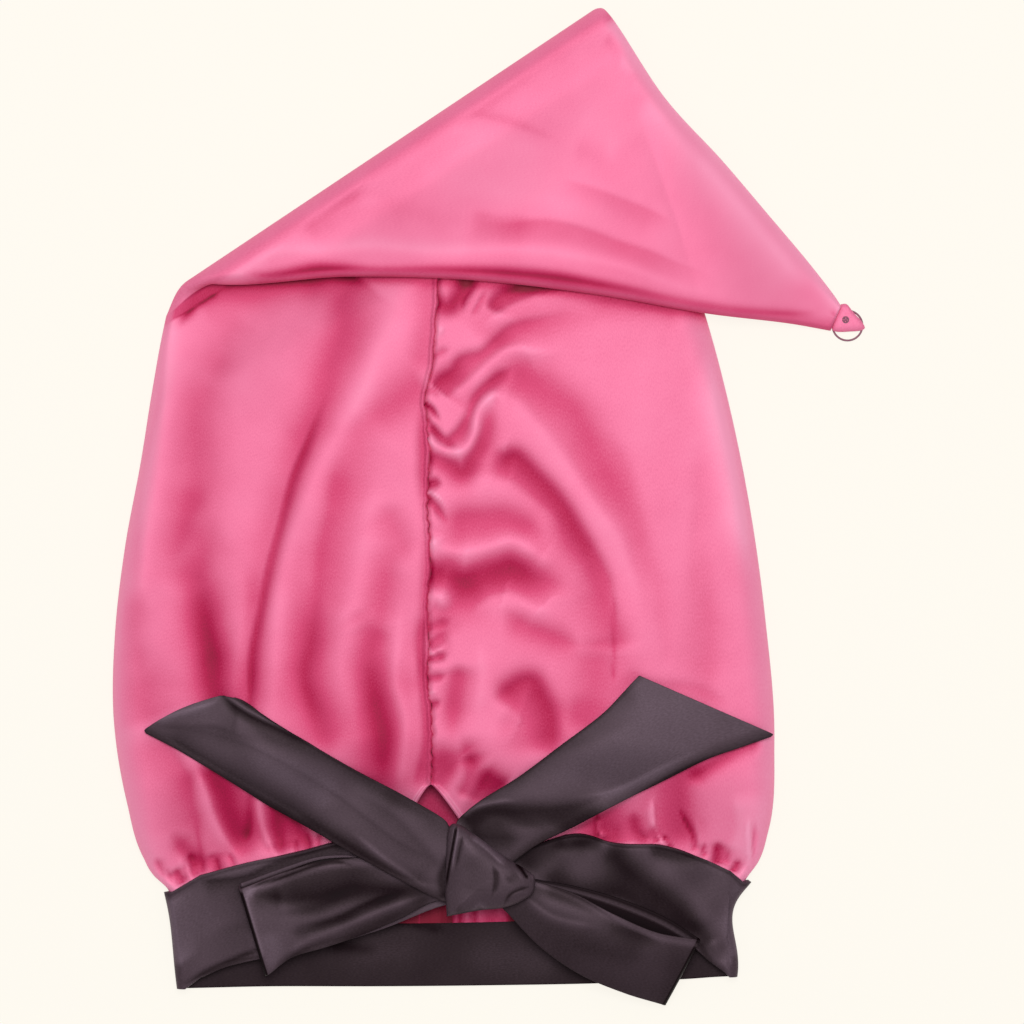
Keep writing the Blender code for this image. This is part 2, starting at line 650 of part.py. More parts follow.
def outline_solid(name, outline, rings, height, seat, finish):
    """A closed pillow over an outline, from rings that shrink to its middle."""
    outline = np.array(outline)
    middle = outline.mean(axis=0)
    count = len(outline)
    points = []
    for share, rise in rings:
        for corner in middle + (outline - middle) * share:
            points.append((corner[0], corner[1], seat + height * rise))
    faces = grid_faces(len(rings), count, closed=True)
    bottom, top = len(points), len(points) + 1
    points.append((middle[0], middle[1], seat + height * rings[0][1]))
    points.append((middle[0], middle[1], seat + height))
    last = (len(rings) - 1) * count
    for corner in range(count):
        after = (corner + 1) % count
        faces.append((after, corner, bottom))
        faces.append((last + corner, last + after, top))
    made = add_object(name, points, faces, finish)
    cleaned = bmesh.new()
    cleaned.from_mesh(made.data)
    bmesh.ops.recalc_face_normals(cleaned, faces=cleaned.faces)
    cleaned.to_mesh(made.data)
    cleaned.free()
    return made


def make_tip(pink, mauve):
    """Tab, hanging loop and stud at the end of the folded point."""
    seat = 2 * LOOP_WIRE + GAP
    outline_solid("tip_tab", TAB_OUTLINE, TAB_RINGS, TAB_THICKNESS, seat, pink)
    bpy.ops.mesh.primitive_torus_add(
        major_radius=LOOP_RADIUS * METRE, minor_radius=LOOP_WIRE * METRE,
        major_segments=24, minor_segments=5,
        location=(LOOP_CENTRE[0] * METRE, LOOP_CENTRE[1] * METRE, LOOP_WIRE * METRE))
    adopt(bpy.context.object, "tip_loop", mauve)
    bpy.ops.mesh.primitive_uv_sphere_add(
        segments=12, ring_count=6, radius=STUD_RADIUS * METRE,
        location=(STUD_CENTRE[0] * METRE, STUD_CENTRE[1] * METRE,
                  (seat + TAB_THICKNESS + GAP + STUD_FLATNESS * STUD_RADIUS) * METRE))
    stud = adopt(bpy.context.object, "tip_stud", mauve)
    stud.scale = (1.0, 1.0, STUD_FLATNESS)


def adopt(made, name, finish):
    """Give a primitive its name, finish and collection."""
    made.name = name
    made.data.name = name
    made.data.materials.append(finish)
    made.data.shade_smooth()
    for holder in made.users_collection:
        holder.objects.unlink(made)
    PIECES.objects.link(made)
    return made


for old in list(bpy.data.objects):
    bpy.data.objects.remove(old, do_unlink=True)
PIECES = bpy.data.collections.new("sleep_bonnet")
bpy.context.scene.collection.children.link(PIECES)

pink_satin = material("pink_satin", PINK, 0.38, 0.5)
charcoal_satin = material("charcoal_satin", CHARCOAL, 0.42, 0.4)
mauve_thread = material("mauve_thread", MAUVE, 0.5, 0.2)

make_crown(pink_satin)
make_band(charcoal_satin)
make_loop("loop_lower_left", LOOP_LEFT, charcoal_satin, False)
make_loop("loop_lower_right", LOOP_RIGHT, charcoal_satin, True)
make_tail("tail_upper_left", TAIL_LEFT, charcoal_satin, True)
make_tail("tail_upper_right", TAIL_RIGHT, charcoal_satin, False)
outline_solid("knot", KNOT_OUTLINE, KNOT_RINGS, KNOT_HEIGHT, KNOT_SEAT, charcoal_satin)
make_tip(pink_satin, mauve_thread)
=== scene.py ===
"""Looks of the satin sleep bonnet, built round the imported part.

The bonnet lies on its back, seen from straight above.  Tables and functions
work in millimetres: +X right, +Y from the band to the folded top, +Z up.
"""
import math

import bpy
import numpy as np
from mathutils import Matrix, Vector


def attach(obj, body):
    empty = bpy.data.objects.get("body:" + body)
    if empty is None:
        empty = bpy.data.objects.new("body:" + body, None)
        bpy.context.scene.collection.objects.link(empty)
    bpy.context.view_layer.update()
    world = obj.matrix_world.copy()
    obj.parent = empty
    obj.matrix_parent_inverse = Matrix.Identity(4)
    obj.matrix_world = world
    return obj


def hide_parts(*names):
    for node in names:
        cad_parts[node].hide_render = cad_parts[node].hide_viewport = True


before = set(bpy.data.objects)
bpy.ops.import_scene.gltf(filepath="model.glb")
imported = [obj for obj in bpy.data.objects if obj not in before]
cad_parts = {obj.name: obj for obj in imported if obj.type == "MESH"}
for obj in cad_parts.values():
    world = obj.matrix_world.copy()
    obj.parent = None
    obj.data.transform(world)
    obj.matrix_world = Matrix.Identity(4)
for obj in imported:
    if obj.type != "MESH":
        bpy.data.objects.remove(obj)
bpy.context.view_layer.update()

METRE = 0.001

# Cloth and gaps, as in the part's source
BAND_WALL = 2.0
TAIL_WALL = 1.6
LOOP_WALL = 1.0
GAP = 0.3
LOOSE = 0.5

# Crease of the folded top
CREASE_LEFT = np.array([-154.5, 110.5])
CREASE_RIGHT = np.array([55.5, 250.5])
CREASE_RADIUS = 8.5
CREASE_LENGTH = math.pi * CREASE_RADIUS
FOLDED_BAG = 7.0                # thickness of the bag where it folds
ALONG = (CREASE_RIGHT - CREASE_LEFT) / np.linalg.norm(CREASE_RIGHT - CREASE_LEFT)
PAST = np.array([-ALONG[1], ALONG[0]])
AXIS_POINT = CREASE_LEFT - PAST * CREASE_RADIUS

# Body of the bag: heights of its front, and how its edges and its mouth run
EDGE_SHARE = 0.45               # height of a side edge, as a share of the front's there
ROLL_SHARE = 1.6                # width of its rounding, as a share of its rise
ROLL_LEAST = 2.0                # least width of that rounding
DOME_SIDE = 13.0                # height of the front at its sides
DOME_MIDDLE = 20.0              # height of the front in its middle
DOME_ROUND = 0.8
DOME_START = 8.0                # distance from the mouth where the front starts to rise
DOME_RISE = 48.0                # length of that rise
RISE_ROUND = 0.75
CREASE_RISE = 75.0              # distance from the crease over which the front rises
THIN_START = 0.82               # share of the length from which the bag gets thinner
MOUTH_LIFT = 27.0               # how far the mouth's front edge curves up
MOUTH_LIFT_REACH = 0.45
MOUTH_DROP = 13.5               # how far its back edge curves down
MOUTH_DROP_REACH = 0.15
MOUTH_POWER = 2.7
TUCK_SHARES = (0.012, 0.03)     # shares over which the bag comes out of the band
BOW_X = -10.0                   # where the band's two front halves meet
FRONT_LEAST = 2.2               # least height of the front's outside
CALM_EDGE = (1.0, 5.0)          # where folds begin from a side edge, and over how far
CREASE_CALM = 40.0              # distance from the crease over which they begin
BACK_MOUTH_SHARE = 0.06
BACK_GATHER = 0.55
SEAM_CROWD = (4.0, 2.2)         # reach and strength of closer columns of points
BACK_CROWD = (30.0, 6.0)
BAG_CLOTH = (330.0, 440.0)      # size of the weave's sheet over the bag

# Folded top
BEND_SHARE = 0.07               # share of the length that goes round the crease
TOP_SHARE = 0.6                 # share of the length that the folded top has
TOP_GAP = 0.8                   # least gap under the folded top
TOP_SETTLE = 20.0               # distance from the crease over which it settles
TOP_FALL = 74.0                 # distance from the body over which it comes down
TOP_FOLD_START = 4.0            # length past the crease over which its folds begin
TOP_TURN_SHARE = 0.06
TOP_EDGE_SHARE = (0.80, 0.6)    # how far its lower and its right edge roll under
TOP_ROLL = (11.0, 7.0)          # width of those rolls
TOP_NARROW = 60.0               # width of the top below which they get smaller
TOP_THIN = (3.9, 1.5)           # thickness from which its folds press in
TOP_CALM = (2.0, 9.0)           # where they begin from an edge, and over how far

# Centre-front seam and slit: a height comes before its width, and then its place
SLIT_SHARE = 0.105              # share of the length at which the slit ends
SLIT_SIDES = (16.0, 21.0)       # how far it opens to the left and right of the seam
SLIT_ROUND = (0.7, 0.85)        # roundness of its two sides
SEAM_CLOSE = 0.004
SEAM_FADE = 30.0
LIP = (0.9, 0.7, 1.1)           # the left panel's folded edge over the right panel
LIP_DIP = (1.6, 0.45)
FAR_DIP = (1.5, 0.8)            # width of the dip beside it, and its change
LIP_LAP = (0.7, -0.21)          # how far the left and the right panel move over
LAP_WIDTH = 1.2
SEAM_WAVER = (0.55, 2.5)        # sideways waver of the seam
HEM_LINES = (1.2, 2.9)          # lines of stitching beside the slit
HEM_LINE = (0.45, 0.45)
HEM_TURN = (0.3, 0.5)

# Unevenness of the cloth: height, size and seed of its ripples
FRONT_RIPPLES = ((0.30, 45.0, 3), (0.03, 11.0, 5))
TOP_RIPPLES = ((0.35, 50.0, 13), (0.03, 12.0, 17))
BAND_RIPPLES = ((0.25, 26.0, 23),)
SEAM_RIPPLES = ((0.5, 7.0, 11),)
SEAM_RIPPLE = (5.0, 29)
RIPPLE_WAVES = 9

# Share of a fold's depth that presses into the bag and into the bow's pieces; the whole depth is
# also painted into the colour as shade
BAG_PRESS = 0.36
TOP_PRESS = 0.15
BOW_PRESS = 0.2

# Reach, shape and smoothness of a fold
FOLD_REACH = 2.7
FOLD_POWER = 1.8
FOLD_END_WIDTH = 0.45
FOLD_STEPS = 6

# Painted shade (more than 0) and painted highlight (less than 0) put into a place's colour,
# besides the painted shade of its folds, then their width, and their place if it isn't an
# edge.  A start comes with the run over which a thing begins, and an end with the run over which
# it stops.
RIM_PAINTED_HIGHLIGHT = (-2.3, 8.0)          # painted highlight along the side edges of the body
RIM_END = (84.0, 14.0)
UNDER_TOP_PAINTED_SHADOW = (4.0, 3.5)     # painted shadow on the front, close to the folded top
INSIDE_PAINTED_SHADE = 4.5               # painted shade under the folded top
INSIDE_START = (2.5, 6.0)
SLIT_PAINTED_SHADE = (3.0, 0.03)         # painted shade on the back, seen through the slit
BEHIND_PAINTED_SHADE = (4.3, 32.0)       # painted shade on the back, behind the end of the slit
BEHIND_START = (0.06, 0.03)
BEHIND_END = (0.2, 0.05)
SEAM_PAINTED_SHADES = ((0.56, 0.7), (0.72, 1.6))     # painted shade in the dip beside the seam, left and right panel
# painted highlight on the stitched ridges of the slit's hem
HEM_PAINTED_HIGHLIGHT = -2.8
TURNED_PAINTED_SHADE = 2.4               # painted shade where the lower edge of the folded top turns under
TURNED_START = (-130.0, 20.0)
FAR_EDGE_PAINTED_HIGHLIGHT = (-3.4, 5.0)     # painted highlight along the right edge of the folded top
SHOULDER = (0.9, 2.5, 7.5)      # painted shade on the folded top, by its crease
BACK_PAINTED_SHADE = 0.6                 # painted light and shade over the gathers of the back's mouth, and painted shade at their two ends
BACK_GATHER_PAINTED_LIGHT = -2.4
BACK_END_PAINTED_SHADES = ((5.0, -15.0, -6.0), (3.5, 6.0, 6.0))
# painted shade on the band's back half
BAND_BACK_PAINTED_SHADE = 3.4
# painted shadow along the seam under the band's top edge
BAND_SEAM_PAINTED_SHADOW = (1.8, 0.5, 1.0)
MOUTH_PAINTED_SHADE = 6.0                # painted shade inside a bow loop
MOUTH_PAINTED_HIGHLIGHT = (7.5, 30.0, 0.03)     # painted highlight line in it: strength, loss by place, width
# painted highlight along a loop's edge
LOOP_EDGE_PAINTED_HIGHLIGHT = (-2.2, 0.05, 0.07)
TAIL_LOWER_PAINTED_SHADE = 2.5           # painted shade along the edges of the tie ends
TAIL_LOWER_START = (0.84, 0.16)
TAIL_UPPER_PAINTED_SHADE = 2.0
TAIL_UPPER_END = (0.0, 0.05)
# painted light over the whole right tie end
TAIL_RIGHT_PAINTED_LIGHT = -0.6
# Range of the painted shading, and the places of its inner colour stops
PAINTED_SHADING_RANGE = (-1.6, 8.9)
PAINTED_SHADING_STOPS = (0.3319, 0.6071, 0.8095)

BODY_SECTIONS = np.array([
    # share, left_x, left_y, right_x, right_y
    (0.000, -159.2, -198, 126.6, -193),
    (0.014, -160.8, -192.5, 128.6, -187.5),
    (0.033, -168, -185.5, 135, -178.5),
    (0.065, -173.5, -176, 140, -163),
    (0.160, -181.5, -148.5, 143, -118.5),
    (0.300, -188, -108, 138.5, -57),
    (0.450, -187.5, -64.5, 129, 9),
    (0.600, -182.5, -21, 114.5, 74),
    (0.750, -174.5, 22.5, 95, 137.5),
    (0.880, -168.5, 60.5, 76, 192),
    (1.000, -162, 95, 59.5, 243),
])
TOP_SECTIONS = np.array([
    # share, left_x, left_y, right_x, right_y, thickness
    (0.00, -138.5, 111, 61.5, 244, 7),
    (0.20, -72, 114.5, 88, 204, 7),
    (0.40, -9.5, 112.5, 116.5, 173, 6.5),
    (0.60, 53, 105.5, 139, 147, 6),
    (0.80, 113, 95.5, 162, 120, 5),
    (0.93, 153, 91, 174, 104.5, 4.4),
    (1.00, 171.2, 87.9, 176.6, 100.4, 4),
])
SEAM_PATH = np.array([
    # y, x of the centre-front seam, mouth to folded top
    (-197, -29), (-138.5, -29), (-129.5, -29), (-117, -28.5), (-102, -29),
    (-87, -31), (-67, -30.5), (-49.5, -31), (-34.5, -29.5), (-17, -30),
    (-2, -31), (13, -30.5), (28, -30), (40.5, -31), (53, -32.5),
    (60.5, -31), (70.5, -28.5), (83, -27.5), (103, -26), (133, -26),
])

# Folds of the cloth: how deep they press in and how much shade is painted for them (less than 0:
# how high they rise, with a painted highlight), the width of their left and their right side, the
# shares of their length over which they begin and end, and their line: its first point, then the
# step to each next one
LEFT_FOLDS = (
    # depth, left, right, begin, end, x, y, step_x, step_y, ...
    # Left panel, from the folded top to the bow
    (3.1, 16, 11.9, 0.02, 0.25, -65, 116, -7, -11, -0.5, -17, -6.5, -17, -4, -21.5, -8, -18.5,
     -3.5, -20, -9, -22.5, -3.5, -21.5, -12, -20.5, 0, -19, -1.5, -23, -4, -21.5),
    (2.7, 3.5, 1.4, 0.3, 0.2, -79.5, 60.5, -6, -15, -6, -15.5, -7, -17.5, -6, -23, -5.5, -20.5,
     -4.5, -22.5, -4, -20.5, -1.5, -23.5, -5.5, -29.5),
    (-2.8, 7.5, 8.6, 0.25, 0.3, -44.5, 103, -11, -23, -6.5, -21, -12, -21, -10, -17.5, -8.5, -19.5,
     -8.5, -22.5, -4.5, -25, -2, -26.5, -1.5, -24, -4.5, -30),
    (2.6, 12.3, 11.8, 0.2, 0.5, -29, 63.5, -9, -6.5, -12.5, -8, -14.5, -8.5, -7, -9.5),
    (2.3, 16, 4.8, 0.35, 0.3, -73.5, 28, -3.5, -13, -1.5, -17, -5, -21, -1.5, -22, -2.5, -22.5, -4,
     -19, 6, -24.5, 6, -17),
    (2.9, 9.5, 14.4, 0.4, 0.2, -85.5, -27, -6, -21.5, -1, -19.5, -1.5, -19.5, 11.5, -25, 2, -17),
    (-1.6, 9.1, 7.1, 0.3, 0.3, -52.5, 18, -7.5, -24.5, -4, -25.5, -5, -25.5, -5, -21.5, 6, -24,
     4.5, -26.5),
    (2.3, 13.9, 13.9, 0.3, 0.3, -125.5, 80.5, -10, -13, -9.5, -17, -1.5, -17.5, 0.5, -16.5, -2,
     -16, -4.5, -15.5, -6, -17.5),
    (0.8, 4.7, 10.9, 0.3, 0.3, -141.5, 13, -4.5, -10, -5.5, -9, -5.5, -14.5, -2.5, -12),
    (6.9, 15.3, 13.7, 0.7, 0.2, -146, -7, 2.5, -17, -1.5, -15.5, 3, -20.5, 6, -17, 2, -22.5, 0,
     -27.5),
    (2.6, 16, 8.9, 0.6, 0.2, -143, -34.5, 2, -17.5, 2.5, -18, 0, -17.5, 5, -19.5, 1, -25),
    (4.1, 16, 16, 0.4, 0.2, -61, -52, 4, -10, -1.5, -20.5, 1.5, -17, 3, -17.5, 0, -23, 4.5, -17),
    (1.5, 7.7, 6.3, 0.5, 0.2, -59, -71.5, 0.5, -21, 6, -20, 0, -28),
    (2.7, 8.1, 16, 0.4, 0.4, -44.5, -20, -7, -13.5, -3, -18, -1.5, -11.5),
    (-1.6, 3.1, 4.7, 0.3, 0.2, -43, -42, -2.5, -26.5, -1.5, -19, 5, -19.5, -1, -20.5, -2.5, -19.5),
    (3, 16, 2.8, 0.3, 0.2, -35, -66, 2.5, -25.5, 1.5, -27.5, -7.5, -25.5),
    (-5, 8, 16, 0.5, 0.2, -124, -26.5, 0, -25, -2.5, -21, -2.5, -19.5, -0.5, -35),
    (6.5, 3.4, 6.2, 0.05, 0.4, -137.5, 111, -10.5, -7.5, -3, -6, -6, -11),
    (-1.1, 6.4, 1.6, 0.1, 0.3, -156.5, 103.5, -3.5, -25.5, -3, -25.5, -4.5, -20, -5, -29.5, -1.5,
     -29.5, -3.5, -30.5),
    (2, 16, 16, 0.4, 0.3, -170, -67, -1.5, -29, 4.5, -16),
    # Left panel, under the upper left tie end
    (2.2, 3.3, 16, 0.2, 0.3, -162, -109, 2, -11, 8.5, -15, 2.5, -13.5, 3.5, -12, 3, -15.5),
    (-3.1, 2.2, 4.3, 0.2, 0.3, -147.5, -128.5, 5, -12.5, 4.5, -14.5, 5.5, -11.5, 8.5, -11),
    (-2.4, 2.4, 1.7, 0.2, 0.3, -115.5, -144.5, 1.5, -13, 3, -9.5, 6.5, -11.5),
    (3.4, 5.2, 4.6, 0.3, 0.3, -160, -161.5, 7, -10, 7.5, -6, 1.5, -10.5),
    (3.9, 2.9, 2.7, 0.3, 0.2, -167.5, -175, 5, -16),
    (4.6, 2.2, 4.2, 0.3, 0.2, -157.5, -181, 4.5, -9),
    (2.8, 5.1, 4.5, 0.3, 0.2, -138.5, -172.5, 3, -13),
    (3.3, 3.5, 1.5, 0.3, 0.2, -150.5, -172.5, 3, -14.5),
    # Left panel, from the folded top to the bow
    (3.1, 8.1, 7.9, 0.2, 0.2, -151.5, 102, 12.5, 4, 19.5, 0.5, 23, 4, 23, -2.5),
    (-0.8, 10.7, 10.6, 0.05, 0.4, -47.5, 118, -1, -20, 0, -20, -11, -20),
    (2, 14.9, 7.8, 0.1, 0.3, -31.5, 114.5, 1.5, -21.5, -4, -17, -3.5, -15),
    (3.2, 2.6, 3.7, 0.2, 0.2, -34, 56, 1.5, -17, 0.5, -26.5, 3.5, -19.5, -1, -20, -1.5, -25, -2.5,
     -20.5, 4, -24.5),
    (1.6, 16, 14.2, 0.3, 0.4, -61.5, 45.5, -7.5, -15, -5, -19, -2.5, -17.5),
    (1.7, 7.4, 16, 0.3, 0.3, -55.5, 3, 9, -16, 7, -18),
    (1.5, 10.8, 16, 0.3, 0.3, -135.5, -3, -7, -17.5, -9.5, -10.5, -3, -15),
    (1.8, 5.4, 10.2, 0.3, 0.3, -70, -50.5, 8, -10, 14, -7),
    (0.8, 3.3, 7.2, 0.2, 0.2, -31.5, -53, -4, -14, -0.5, -14.5, -2.5, -17.5),
    (1.1, 10.5, 16, 0.3, 0.3, -125, 101.5, -7, -20, -5, -22),
    (1.5, 5.5, 15.9, 0.3, 0.3, -175, -38.5, -2.5, -23.5, 3, -25.5),
    # Under the folded top
    (7, 9, 3, 0.25, 0.4, -157, 102.5, 9, 2, 10.5, 3),
    # Gathers at the band
    (1.2, 1.4, 1.3, 0.4, 0.1, -148, -153, 3, -17, 2, -15),
    (-0.4, 1.1, 1.1, 0.4, 0.1, -101, -159, -0.5, -9, 0, -6),
    (2.1, 1.2, 1.1, 0.4, 0.1, -97.5, -166, 1, -5, 0.5, -4),
    (2.4, 1.6, 1.6, 0.4, 0.1, -93, -160, 3, -8, 0, -5),
    (-0.4, 1.2, 1.3, 0.4, 0.1, -87.5, -160, -1.5, -7, 0, -5),
    (3, 1.3, 1.6, 0.4, 0.1, -83.5, -161, -1.5, -6, -0.5, -4),
    (1.9, 1.2, 1.4, 0.4, 0.1, -154.5, -178, 2, -5, 1, -5),
    (1.8, 1.1, 1.2, 0.4, 0.1, -161.5, -180, 1.5, -5.5, 1.5, -5.5),
    (-0.9, 1.2, 1.1, 0.4, 0.1, -157, -172, 3, -8, 1.5, -6),
    (2.1, 1.1, 1.3, 0.4, 0.1, -136.5, -175, 0.5, -4, 1, -4),
    (1.9, 1.1, 1.3, 0.4, 0.1, -130.5, -173, 1.5, -4, 1.5, -4),
    # Under the folded top
    (4.3, 7, 2.9, 0.3, 0.3, -153.5, 96.5, 9, 8.5, 11.5, 4),
    # Left panel, under the upper left tie end
    (5.4, 13.2, 11.7, 0.2, 0.3, -141, -122.5, 3.5, -12, 5, -10, 2.5, -9.5, 7.5, -15.5, 6.5, -9.5),
    (2, 2, 2.4, 0.2, 0.2, -119, -141, -0.5, -9, -0.5, -10, -2.5, -10),
    (5.3, 8.8, 6.1, 0.2, 0.2, -108, -144, 2, -10, 0.5, -11, 2, -11.5),
    (3.8, 5.4, 4.6, 0.2, 0.3, -99.5, -147, 3.5, -11, 3.5, -10, 4, -7),
)
